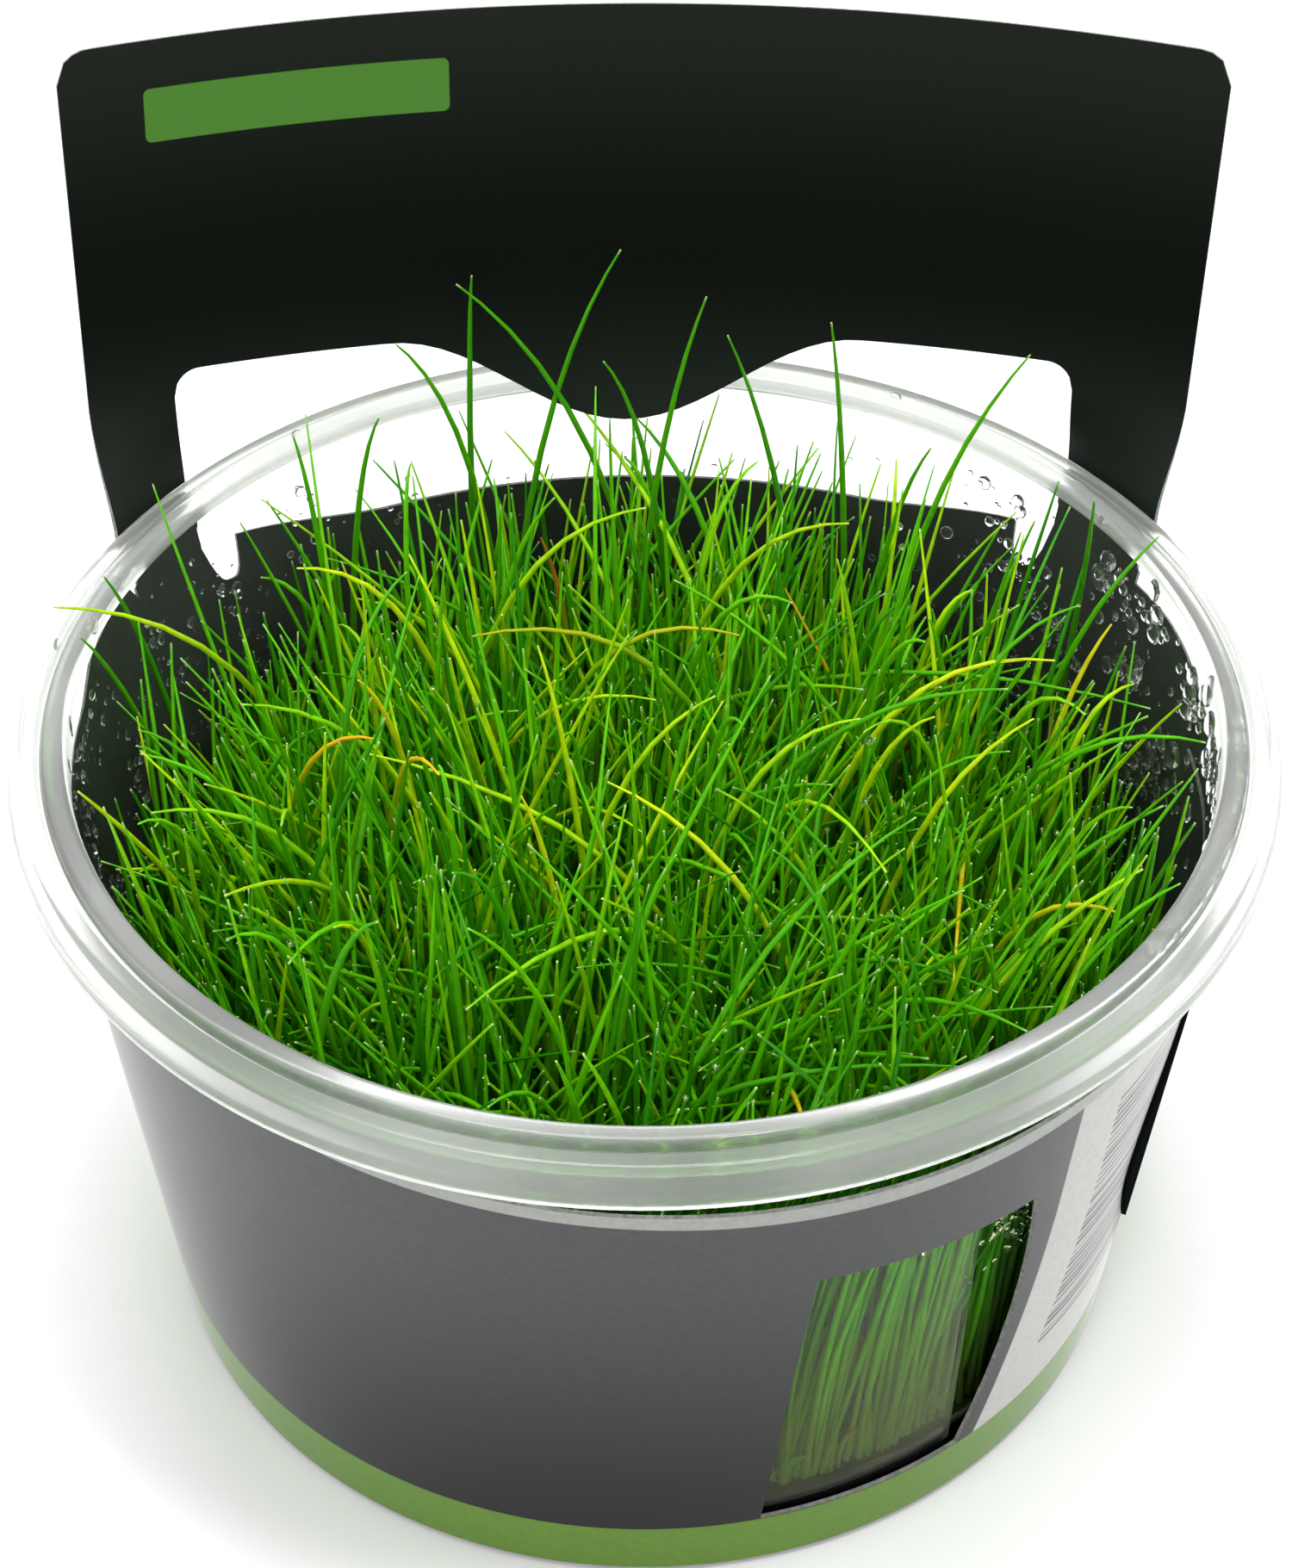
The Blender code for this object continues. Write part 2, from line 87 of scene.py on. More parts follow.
class Zone(Enum):
    """Stretches of the card from its inner end round to the loose flap."""

    FRONT = "front"
    LEFT_LEG = "left leg"
    GAP = "gap"
    RIGHT_LEG = "right leg"
    FLAP = "flap"


class Culm(Enum):
    """Kinds of culm, by how they stand."""

    CANOPY = "canopy"
    UNDER = "under"
    WALL = "wall"
    TALL = "tall"
    ROOT = "root"


def tint(code: str) -> Colour:
    """Linear colour of a screen colour.

    Args:
        code: Six hexadecimal digits after a hash sign.

    Returns:
        Red, green, blue and alpha.
    """
    parts = [int(code[i:i + 2], 16) / 255 for i in (1, 3, 5)]
    linear = [v / 12.92 if v <= 0.04045 else ((v + 0.055) / 1.055) ** 2.4 for v in parts]
    return (linear[0], linear[1], linear[2], 1.0)


def ease(low: float, high: float, value: np.ndarray | float) -> np.ndarray:
    """Ease from 0 at low to 1 at high.

    Args:
        low: Where the rise starts.
        high: Where it ends.
        value: One value or an array.

    Returns:
        The eased share, of the value's shape.
    """
    share = np.clip((np.asarray(value, float) - low) / (high - low), 0.0, 1.0)
    return share * share * (3.0 - 2.0 * share)


def spaced(start: float, stop: float, count: int) -> list[float]:
    """Evenly spaced values from start to stop, one more than the count."""
    return [start + (stop - start) * i / count for i in range(count + 1)]


def around(radius: float, angle: float, height: float) -> Triple:
    """A place by its radius, its degrees from the back and its height."""
    turn = math.radians(angle)
    return (radius * math.sin(turn), radius * math.cos(turn), height)


class Board:
    """A node tree with short calls that add, set and join its nodes."""

    def __init__(self, tree: Tree) -> None:
        """Take the tree that the calls work on."""
        self.tree = tree

    def feed(self, socket: Socket, value: object) -> None:
        """Join a socket to another one, or set its value.

        Args:
            socket: An input.
            value: An output socket, a node that stands for its first output, or a plain value.
        """
        if isinstance(value, Node):
            value = value.outputs[0]
        if isinstance(value, Socket):
            self.tree.links.new(value, socket)
        else:
            socket.default_value = value

    def add(self, kind: str, inputs: dict | None = None, **settings: object) -> Node:
        """Add a node.

        Args:
            kind: The node's type.
            inputs: Values or sockets by the input's name or index.
            **settings: The node's own properties.

        Returns:
            The new node.
        """
        node = self.tree.nodes.new(kind)
        for key, value in settings.items():
            setattr(node, key, value)
        for key, value in (inputs or {}).items():
            self.feed(node.inputs[key], value)
        return node

    def math(self, operation: str, *values: object) -> Socket:
        """Result of a Math node on the given values."""
        return self.add("ShaderNodeMath", dict(enumerate(values)), operation=operation).outputs[0]

    def times(self, *parts: object) -> Socket:
        """The product of the given values.

        Args:
            *parts: Sockets or numbers.

        Returns:
            The product.
        """
        result = parts[0]
        for part in parts[1:]:
            result = self.math("MULTIPLY", result, part)
        return result

    def less(self, first: object, second: object) -> Socket:
        """The first value less the second."""
        return self.math("SUBTRACT", first, second)

    def rest(self, share: object) -> Socket:
        """What a share leaves of 1."""
        return self.less(1.0, share)

    def line(self, value: object, slope: object, start: object) -> Socket:
        """The value times a slope, plus a start."""
        return self.math("MULTIPLY_ADD", value, slope, start)

    def length(self, x: Socket, y: Socket) -> Socket:
        """The length of a vector in a plane."""
        return self.math("SQRT", self.math("ADD", self.times(x, x), self.times(y, y)))

    def split(self, vector: object) -> tuple[Socket, ...]:
        """The three parts of a vector."""
        return tuple(self.add("ShaderNodeSeparateXYZ", {0: vector}).outputs)

    def join(self, x: object, y: object, z: object) -> Socket:
        """A vector made of three parts."""
        return self.add("ShaderNodeCombineXYZ", {0: x, 1: y, 2: z}).outputs[0]

    def ease(self, value: object, low: object, high: object, start: float = 0.0,
             stop: float = 1.0) -> Socket:
        """A smooth rise from start at low to stop at high."""
        inputs = {0: value, 1: low, 2: high, 3: start, 4: stop}
        return self.add("ShaderNodeMapRange", inputs, interpolation_type="SMOOTHSTEP").outputs[0]

    def edge(self, value: object, place: object, soft: float) -> Socket:
        """A step from 0 below a place to 1 above it, over a soft width."""
        return self.ease(self.less(value, place), -soft, soft)

    def below(self, value: object, place: object, soft: float) -> Socket:
        """A step from 1 below a place to 0 above it, over a soft width."""
        return self.rest(self.edge(value, place, soft))

    def between(self, value: object, low: object, high: object, soft: float) -> Socket:
        """1 between two places and 0 outside them."""
        return self.times(self.edge(value, low, soft), self.below(value, high, soft))

    def blend(self, share: object, first: object, second: object) -> Socket:
        """A colour between two colours."""
        node = self.add("ShaderNodeMix", {0: share, 6: first, 7: second}, data_type="RGBA")
        return node.outputs[2]

    def coats(self, ground: object, *layers: tuple[object, object]) -> object:
        """Lay colours over a ground, one after another.

        Args:
            ground: The first colour.
            *layers: The share and the colour of each coat.

        Returns:
            The colour that shows.
        """
        for share, colour in layers:
            ground = self.blend(share, ground, colour)
        return ground

    def place(self) -> Socket:
        """The Object coordinates."""
        return self.add("ShaderNodeTexCoord").outputs["Object"]

    def noise(self, scale: float, detail: float = 2.0, vector: object = None,
              rough: float = 0.5) -> Socket:
        """Noise on Object coordinates, or on a given vector.

        Args:
            scale: How many features a metre has.
            detail: How many finer layers it has.
            vector: Where it is read, or None for Object coordinates.
            rough: How strong the finer layers are.

        Returns:
            The noise, from 0 to 1.
        """
        if vector is None:
            vector = self.place()
        inputs = {"Vector": vector, "Scale": scale, "Detail": detail, "Roughness": rough}
        return self.add("ShaderNodeTexNoise", inputs).outputs[0]

    def bump(self, height: object, strength: float, depth: float) -> Socket:
        """A normal from a height."""
        inputs = {"Height": height, "Strength": strength, "Distance": depth}
        return self.add("ShaderNodeBump", inputs).outputs[0]

    def attribute(self, name: str) -> Socket:
        """A number that the mesh carries under a name."""
        return self.add("ShaderNodeAttribute", attribute_name=name).outputs["Fac"]

    def carried(self, name: str, kind: str = "FLOAT") -> Socket:
        """A value that the points of a geometry tree carry under a name."""
        return self.add("GeometryNodeInputNamedAttribute", {"Name": name}, data_type=kind).outputs[0]

    def store(self, points: Node, name: str, value: object, kind: str = "FLOAT") -> Node:
        """Store a value on the points of a geometry tree under a name."""
        inputs = {0: points, "Name": name, "Value": value}
        return self.add("GeometryNodeStoreNamedAttribute", inputs, data_type=kind, domain="POINT")

    def print_place(self) -> tuple[Socket, Socket]:
        """Where the print map puts a point of the card: degrees from the back, and millimetres up."""
        across, up, _ = self.split(self.add("ShaderNodeUVMap", uv_map="print"))
        return self.times(across, MAP_ACROSS), self.times(up, 1000.0 / MAP_UP)


@dataclass(frozen=True)
class Finish:
    """A Principled finish: its name, the plain values of its shader and what its nodes add.

    Bumps are given by the scale and detail of their noise, and by their strength and depth.
    """

    name: str = "plain"
    colour: Colour = (0.8, 0.8, 0.8, 1.0)
    roughness: float = 0.5
    shader: Values = ()
    bumps: tuple[float, ...] = ()

    def detail(self, board: Board) -> Feeds:
        """What the nodes of the finish feed to the shader.

        Args:
            board: The material's node tree.

        Returns:
            The sockets by the name of the shader's input.
        """
        if not self.bumps:
            return {}
        scale, detail, strength, depth = self.bumps
        return {"Normal": board.bump(board.noise(scale, detail), strength, depth)}

    def material(self) -> bpy.types.Material:
        """Make the finish, or return it if it is made.

        Returns:
            The material.
        """
        made = bpy.data.materials.get(self.name)
        if made:
            return made
        made = bpy.data.materials.new(self.name)
        made.use_nodes = True
        shader = made.node_tree.nodes["Principled BSDF"]
        plain = {"Base Color": self.colour, "Roughness": self.roughness, "Metallic": 0.0}
        for key, value in {**plain, **dict(self.shader)}.items():
            shader.inputs[key].default_value = value
        board = Board(made.node_tree)
        for key, socket in self.detail(board).items():
            board.feed(shader.inputs[key], socket)
        return made


@dataclass(frozen=True)
class Mottled(Finish):
    """A finish whose colour wanders to another one, by a noise of a scale, detail and roughness."""

    other: Colour = (0.8, 0.8, 0.8, 1.0)
    patches: Triple = (100.0, 2.0, 0.5)
    span: Pair = (0.3, 0.7)

    def detail(self, board: Board) -> Feeds:
        """The bumps, and the two colours.

        Args:
            board: The node tree to add to.

        Returns:
            The sockets by the name of the shader's input.
        """
        scale, detail, rough = self.patches
        share = board.ease(board.noise(scale, detail, rough=rough), *self.span)
        return {**super().detail(board), "Base Color": board.blend(share, self.other, self.colour)}


@dataclass(frozen=True)
class ThinWall(Finish):
    """The clear thin wall of the cup, with a milky veil along one stretch of the front, a painted
    reflection.
    """

    name: str = "clear_plastic_wall"
    colour: Colour = (0.95, 0.965, 0.95, 1.0)
    roughness: float = 0.05
    # painted reflection: the veil's tint and strength stand in for the wall mirroring light
    painted_veil: Colour = (0.72, 0.82, 0.43, 1.0)
    veil_start: float = -2.0
    veil_stop: float = 37.1
    veil_lean: float = -0.086
    veil_top: float = 34.0
    veil_rise: Pair = (5.0, 8.5)
    veil_strength: float = 0.030
    hazed: float = 0.016
    haze_span: Pair = (-0.014, 0.006)
    shader: Values = (("Transmission Weight", 1.0), ("IOR", 1.12))

    def detail(self, board: Board) -> Feeds:
        """Slow ripples, fine scuffs in the gloss, and the veil on one stretch, a painted reflection.

        Args:
            board: The node tree to add to.

        Returns:
            The sockets by the name of the shader's input.
        """
        x, y, z = board.split(board.place())
        turn = board.math("ARCTAN2", x, board.times(y, -1.0))
        angle = board.times(turn, 180.0 / math.pi)
        height = board.times(z, 1000.0)
        # painted reflection: a streaky veil lowers the clearness and tints the wall along one stretch of the
        # front
        streak = board.ease(board.noise(150.0, 1.0), 0.3, 0.62, 0.6, 1.0)
        side = board.line(height, self.veil_lean, self.veil_stop)
        low = board.math("LESS_THAN", height, self.veil_top)
        within = board.between(angle, self.veil_start, side, 0.2)
        painted_veil = board.times(within, streak, low, board.ease(height, *self.veil_rise))
        haze = board.ease(y, *self.haze_span, 1.0, 1.0 - self.hazed)
        clear = board.line(painted_veil, -self.veil_strength, haze)
        ripple = board.noise(90.0, 2.0)
        return {"Transmission Weight": clear,
                "Base Color": board.blend(painted_veil, self.colour, self.painted_veil),
                "Normal": board.bump(ripple, 0.12, 0.0005),
                "Roughness": board.ease(ripple, 0.35, 0.75, 0.0, 0.05)}


@dataclass(frozen=True)
class ShadeTintedStrip(Finish):
    """The strip of the wall beside the veil: its tint is painted shade that dims the turf seen through it,
    and it mirrors next to nothing.
    """

    name: str = "clear_plastic_painted_shade"
    # painted shade: this green-grey tint dims whatever shows through the strip
    colour: Colour = (0.68, 0.78, 0.52, 1.0)
    roughness: float = 0.0
    shader: Values = (("Transmission Weight", 1.0), ("IOR", 1.02))
    bumps: tuple[float, ...] = (90.0, 2.0, 0.12, 0.0005)


@dataclass(frozen=True)
class MilkyFlange(Finish):
    """The thick flange of the cup, where the same plastic looks milky."""

    name: str = "milky_plastic_flange"
    colour: Colour = (0.94, 0.955, 0.93, 1.0)
    roughness: float = 0.26
    clear: float = 0.87
    bead: Colour = (0.88, 0.90, 0.87, 1.0)
    bead_clear: float = 0.76
    bead_edge: Pair = (40.3 * MM, 41.2 * MM)
    shader: Values = (("Transmission Weight", 0.87), ("IOR", 1.33), ("Coat Weight", 0.3),
                      ("Coat Roughness", 0.12))

    def detail(self, board: Board) -> Feeds:
        """Milkier on the bead inside than on the flange.

        Args:
            board: The node tree to add to.

        Returns:
            The sockets by the name of the shader's input.
        """
        x, y, _ = board.split(board.place())
        outward = board.ease(board.length(x, y), *self.bead_edge)
        cloud = board.ease(board.noise(60.0, 1.0), 0.3, 0.7, -0.04, 0.04)
        clear = board.line(outward, self.clear - self.bead_clear, self.bead_clear)
        return {"Transmission Weight": board.math("ADD", clear, cloud),
                "Base Color": board.blend(outward, self.bead, self.colour)}


@dataclass(frozen=True)
class GrowingJelly(Mottled):
    """Wet clear-brown growing gel, half clear like set agar, with cloudy patches."""

    name: str = "growing_jelly"
    colour: Colour = (0.16, 0.17, 0.06, 1.0)
    roughness: float = 0.12
    shader: Values = (("Transmission Weight", 0.45), ("IOR", 1.34))
    bumps: tuple[float, ...] = (260.0, 4.0, 0.4, 0.0004)
    other: Colour = (0.03, 0.035, 0.012, 1.0)
    patches: Triple = (260.0, 4.0, 0.5)
    span: Pair = (0.35, 0.7)


@dataclass(frozen=True)
class WaterBead(Finish):
    """A clear drop of water, with a trace of unevenness, so that the glints differ."""

    name: str = "water_bead"
    colour: Colour = (1.0, 1.0, 1.0, 1.0)
    roughness: float = 0.02
    shader: Values = (("Transmission Weight", 1.0), ("IOR", 1.33))
    bumps: tuple[float, ...] = (1500.0, 1.0, 0.15, 0.0001)


@dataclass(frozen=True)
class CulmSkin(Finish):
    """The green skin of the culms, by each one's own tone, its height and how dry it is."""

    name: str = "culm_skin"
    colour: Colour = tint("#6cc40a")
    roughness: float = 0.36
    deep: Colour = tint("#278003")
    fresh: Colour = tint("#62c203")
    bright: Colour = tint("#c2e80c")
    pale: Colour = tint("#e4eeb0")
    # partly the stems' olive colour, partly painted shade: it dims the lower culms for the turf's depth
    shade: Colour = tint("#4c5c12")
    straw: Colour = tint("#f0b01c")
    brown: Colour = tint("#8a4a12")
    shader: Values = (("Specular IOR Level", 0.15),)

    def detail(self, board: Board) -> Feeds:
        """Tone by culm, olive and dim below as painted shade, pale at the foot and straw-coloured where dry.

        Args:
            board: The node tree to add to.

        Returns:
            The sockets by the name of the shader's input.
        """
        tone, rise, dry = [board.attribute(name) for name in ("tone", "rise", "dry")]
        mottle = board.ease(board.noise(900.0, 1.0), 0.3, 0.75, 0.0, 0.35)
        worn = board.blend(board.ease(tone, 0.2, 0.6), self.brown, self.straw)
        wear = board.times(dry, board.ease(rise, 0.5, 0.88, 0.15, 1.0))
        # the olive coat over the lower part of each culm is painted shade of the turf's depth, partly the
        # stems' own olive
        green = board.coats(self.deep, (board.ease(tone, 0.0, 0.6), self.fresh),
                            (board.ease(tone, 0.55, 1.0), self.bright), (mottle, self.deep),
                            (board.ease(rise, 0.05, 0.7, 0.85, 0.0), self.shade),
                            (board.ease(rise, 0.985, 1.0, 0.0, 0.4), self.pale), (wear, worn))
        return {"Base Color": green,
                "Roughness": board.ease(mottle, 0.0, 0.35, 0.36, 0.52)}


@dataclass(frozen=True)
class RootMat(Mottled):
    """Dark wet roots and culm feet, mottled green and brown."""

    name: str = "root_mat"
    colour: Colour = tint("#333d12")
    roughness: float = 0.6
    bumps: tuple[float, ...] = (900.0, 4.0, 0.8, 0.0006)
    other: Colour = tint("#101207")
    patches: Triple = (420.0, 5.0, 0.65)
    span: Pair = (0.35, 0.65)


@dataclass(frozen=True)
class CutEdge(Mottled):
    """The pale cut edge of the card, with the fibres of the board."""

    name: str = "card_cut_edge"
    colour: Colour = tint("#8f908c")
    roughness: float = 0.75
    other: Colour = tint("#6f716e")
    patches: Triple = (2400.0, 3.0, 0.5)


@dataclass(frozen=True)
class OuterPrint(Finish):
    """The print on the outer side of the card, by degrees from the back and by millimetres up."""

    name: str = "card_outer_print"
    colour: Colour = tint("#0a0b0c")
    roughness: float = 0.42
    # partly printed gradient, partly painted reflection: the ground grows lighter towards the top edge
    upper: Colour = tint("#4a4b4c")
    band: Colour = tint("#5a7f25")
    paper: Colour = tint("#aeaeaa")
    border: Colour = tint("#989a95")
    bars: Colour = tint("#4c4e50")
    back: Colour = tint("#0d100f")
    band_edge: float = 5.6
    border_width: float = 1.15
    panel_side: float = -224.8
    panel_bow: Pair = (30.0, 0.0088)
    bar_low: float = 11.0
    bar_high: float = 36.0
    bar_start: float = -232.0
    bar_bow: Pair = (30.0, 0.0102)
    bar_pitch: float = 0.72
    bar_width: Pair = (0.2, 0.62)
    print_and_reflection_fade: Pair = (2.0, 44.0)
    back_fade: Pair = (58.0, 84.0)
    top: float = 41.9
    top_slope: float = 2.4
    front_stop: float = -60.0
    shader: Values = (("Specular IOR Level", 0.1), ("Sheen Weight", 0.75), ("Sheen Roughness", 0.28))

    def detail(self, board: Board) -> Feeds:
        """Ground, lighter upward partly as print and partly as painted reflection, white panel with its
        bars, green band, pale border and the dark flap.

        Args:
            board: The node tree to add to.

        Returns:
            The sockets by the name of the shader's input.
        """
        angle, height = board.print_place()
        side = self.bowed(board, height, self.panel_side, self.panel_bow)
        turn = board.math("ADD", board.times(angle, math.pi / 180), math.pi)
        top = board.line(board.math("SINE", turn), self.top_slope, self.top)
        rim_strip = board.edge(height, board.less(top, self.border_width), 0.05)
        front = board.math("LESS_THAN", angle, self.front_stop)
        # the first coat lightens the ground upward: partly print, partly painted reflection
        print_colour = board.coats(
            self.colour, (board.ease(height, *self.print_and_reflection_fade), self.upper),
            (board.ease(angle, *self.back_fade), self.back), (board.below(angle, side, 0.12), self.paper),
            (self.bar_mask(board, angle, height), self.bars),
            (board.below(height, self.band_edge, 0.05), self.band),
            (board.times(rim_strip, front), self.border),
            (board.ease(board.noise(1800.0, 2.0), 0.35, 0.7, 0.0, 0.10), (0.0, 0.0, 0.0, 1.0)))
        return {"Base Color": print_colour,
                "Normal": board.bump(board.noise(3200.0, 2.0), 0.12, 0.00003)}

    def bowed(self, board: Board, height: Socket, place: float, bow: Pair) -> Socket:
        """The angle of a side that is straight above a height and bows in below it.

        Args:
            board: The node tree to add to.
            height: Millimetres up.
            place: Angle of the straight part.
            bow: Height where the bow starts, and its strength.

        Returns:
            The angle.
        """
        start, slope = bow
        away = board.math("MINIMUM", board.less(height, start), 0.0)
        return board.line(board.times(away, away), slope, place)

    def bar_mask(self, board: Board, angle: Socket, height: Socket) -> Socket:
        """Plain bars of uneven widths, one above another.

        Args:
            board: The node tree to add to.
            angle: Degrees from the back.
            height: Millimetres up.

        Returns:
            1 on the bars and 0 beside them.
        """
        count = board.math("DIVIDE", board.less(height, self.bar_low), self.bar_pitch)
        place = board.math("FRACT", count)
        draw = board.add("ShaderNodeTexWhiteNoise", {"W": board.math("FLOOR", count)}, noise_dimensions="1D")
        width = board.line(draw.outputs[0], self.bar_width[1], self.bar_width[0])
        line = board.below(place, width, 0.06)
        rows = board.between(height, self.bar_low, self.bar_high, 0.02)
        start = self.bowed(board, height, self.bar_start, self.bar_bow)
        inside = board.below(angle, start, 0.1)
        return board.times(line, rows, inside)


@dataclass(frozen=True)
class InnerPrint(Finish):
    """The near-black inner side of the card, which is the front of the raised panel."""

    name: str = "card_inner_print"
    colour: Colour = tint("#050b06")
    roughness: float = 0.5
    upper: Colour = tint("#191e19")
    lower: Colour = tint("#2b312c")
    tab: Colour = tint("#47752d")
    tab_left: float = -35.1
    tab_right: float = -13.9
    tab_low: float = 74.6
    tab_high: float = 78.3
    tab_corner: float = 0.45
    tab_grain: Colour = tint("#3a7026")
    upper_fade: Pair = (66.0, 83.0)
    lower_fade: Pair = (44.0, 64.0)
    lower_share: float = 0.9
    panel_front: float = 20.0
    shader: Values = (("Specular IOR Level", 0.05),)

    def detail(self, board: Board) -> Feeds:
        """Pebble grain all over, and the plain green tab on the panel.

        Args:
            board: The node tree to add to.

        Returns:
            The sockets by the name of the shader's input.
        """
        x, y, z = [board.times(part, 1000.0) for part in board.split(board.place())]
        grain = board.noise(3600.0, 2.0)
        on_panel = board.math("GREATER_THAN", y, self.panel_front)
        green = board.blend(board.ease(grain, 0.3, 0.7, 0.0, 0.3), self.tab, self.tab_grain)
        colour = board.coats(self.colour, (board.ease(z, *self.upper_fade), self.upper),
                             (board.ease(z, *self.lower_fade, self.lower_share, 0.0), self.lower),
                             (board.times(self.tab_mask(board, x, z), on_panel), green))
        return {"Base Color": colour,
                "Normal": board.bump(grain, 0.35, 0.00006),
                "Roughness": board.ease(grain, 0.3, 0.7, 0.42, 0.6)}

    def tab_mask(self, board: Board, x: Socket, z: Socket) -> Socket:
        """1 on the tab, a rectangle with small round corners.

        Args:
            board: The node tree to add to.
            x: Millimetres to the right.
            z: Millimetres up.

        Returns:
            The mask.
        """
        middle = ((self.tab_left + self.tab_right) / 2, (self.tab_low + self.tab_high) / 2)
        half = ((self.tab_right - self.tab_left) / 2, (self.tab_high - self.tab_low) / 2)
        out = []
        for value, centre, size in zip((x, z), middle, half):
            away = board.math("ABSOLUTE", board.less(value, centre))
            out.append(board.math("MAXIMUM", board.less(away, size - self.tab_corner), 0.0))
        return board.below(board.length(*out), self.tab_corner, 0.04)


@dataclass(frozen=True)
class MattBlack(Finish):
    """The unvarnished dark outside of the flap."""

    name: str = "card_matt_black"
    colour: Colour = tint("#0b0e0d")
    roughness: float = 0.9
    # painted sheen: the grey that the glossy print beside it shows at grazing angles
    near: Colour = tint("#1f2020")
    grain: Colour = tint("#101413")
    painted_sheen_fade: Pair = (84.0, 106.0)
    shader: Values = (("Specular IOR Level", 0.0),)

    def detail(self, board: Board) -> Feeds:
        """Fine grain, lighter next to the leg as a painted sheen, and the green band going on along the
        lower edge.

        Args:
            board: The node tree to add to.

        Returns:
            The sockets by the name of the shader's input.
        """
        angle, height = board.print_place()
        ground = board.blend(board.noise(2800.0, 2.0), self.colour, self.grain)
        # painted sheen: lighter next to the leg, to meet the sheen of the glossy print
        ground = board.blend(board.ease(angle, *self.painted_sheen_fade), self.near, ground)
        above = board.edge(height, OuterPrint.band_edge, 0.05)
        return {"Base Color": board.blend(above, OuterPrint.band, ground)}


@dataclass(frozen=True)
class PaleFloor(Mottled):
    """The plain pale floor, with a trace of tone."""

    name: str = "pale_floor"
    colour: Colour = (0.94, 0.94, 0.94, 1.0)
    roughness: float = 0.9
    other: Colour = (0.92, 0.92, 0.92, 1.0)
    patches: Triple = (6.0, 2.0, 0.5)


def link(name: str, data: bpy.types.ID) -> Piece:
    """Add an object of the given data to the scene.

    Args:
        name: The object's name.
        data: What the object shows.

    Returns:
        The object.
    """
    made = bpy.data.objects.new(name, data)
    bpy.context.scene.collection.objects.link(made)
    return made


def add_mesh(name: str, points: list, faces: list, finishes: list[Finish]) -> Piece:
    """Add a mesh object at the origin.

    Args:
        name: The piece's name.
        points: Places of the vertices.
        faces: Vertex numbers of each face.
        finishes: One for each material slot.

    Returns:
        The object.
    """
    mesh = bpy.data.meshes.new(name)
    mesh.from_pydata([tuple(p) for p in points], [], faces)
    for finish in finishes:
        mesh.materials.append(finish.material())
    mesh.shade_smooth()
    return link(name, mesh)


def freeze(source: Piece, name: str) -> Piece:
    """Turn an object with live modifiers into a plain mesh object.

    Args:
        source: The object, which is removed.
        name: The new piece's name.

    Returns:
        The plain object, at the origin.
    """
    graph = bpy.context.evaluated_depsgraph_get()
    mesh = bpy.data.meshes.new_from_object(source.evaluated_get(graph), preserve_all_data_layers=True,
                                           depsgraph=graph)
    bpy.data.objects.remove(source, do_unlink=True)
    mesh.name = name
    return link(name, mesh)


def crease(piece: Piece, angle: float) -> Piece:
    """Mark the edges that are sharper than an angle, in degrees, so that they shade as edges."""
    piece.data.set_sharp_from_angle(angle=math.radians(angle))
    return piece


def settle(piece: Piece, slot: Slot, *nodes: str) -> Piece:
    """Ride a piece on the body, and name the nodes that it stands for.

    Args:
        piece: A finished piece.
        slot: The record's slot; not used.
        *nodes: CAD nodes that it replaces.

    Returns:
        The piece.
    """
    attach(piece, BODY)
    if nodes:
        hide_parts(*nodes)
    faces = sum(len(face.vertices) - 2 for face in piece.data.polygons)
    stands_for = ", ".join(nodes) or "nothing in the solids"
    LOG.info("%s: %d triangles, stands for %s", piece.name, faces, stands_for)
    return piece


def fillet(profile: Profile, steps: int = 5) -> list[Pair]:
    """Round the corners of a profile.

    Args:
        profile: Radius, height and corner radius of each point.
        steps: Segments of each rounded corner.

    Returns:
        The rounded outline.
    """
    outline: list[Pair] = []
    for index, (r, z, corner) in enumerate(profile):
        here = Vector((r, z))
        if corner <= 0.0 or index in (0, len(profile) - 1):
            outline.append((r, z))
            continue
        back = Vector(profile[index - 1][:2]) - here
        ahead = Vector(profile[index + 1][:2]) - here
        half = back.angle(ahead) / 2
        reach = min(corner / math.tan(half), back.length * 0.49, ahead.length * 0.49)
        start = here + back.normalized() * reach
        stop = here + ahead.normalized() * reach
        for step in range(steps + 1):
            share = step / steps
            point = start.lerp(here, share).lerp(here.lerp(stop, share), share)
            outline.append((point.x, point.y))
    return outline


def revolve(name: str, outline: list[Pair], steps: int, finish: Finish, start: float = 0.0,
            twist: float = 0.0) -> Piece:
    """Turn an outline that starts and ends on the axis.

    Args:
        name: The piece's name.
        outline: Radius and height of each point, up the inside and down the outside.
        steps: Segments round the axis.
        finish: Its finish.
        start: Where the columns stand at the bottom, in degrees.
        twist: How far the columns lean, in degrees for each metre of height.

    Returns:
        A closed piece with its faces outward.
    """
    inner = outline[1:-1]
    points = [(0.0, 0.0, outline[0][1])]
    for step in range(steps):
        for r, z in inner:
            turn = math.tau * step / steps + math.radians(start + twist * z)
            points.append((r * math.cos(turn), r * math.sin(turn), z))
    points.append((0.0, 0.0, outline[-1][1]))
    last = len(points) - 1
    size = len(inner)
    faces: list[tuple[int, ...]] = []
    for step in range(steps):
        here = 1 + step * size
        there = 1 + (step + 1) % steps * size
        faces.append((0, here, there))
        faces.append((last, there + size - 1, here + size - 1))
        faces += [(here + i, here + i + 1, there + i + 1, there + i) for i in range(size - 1)]
    made = add_mesh(name, points, faces, [finish])
    work = bmesh.new()
    work.from_mesh(made.data)
    bmesh.ops.recalc_face_normals(work, faces=work.faces)
    work.to_mesh(made.data)
    work.free()
    return made


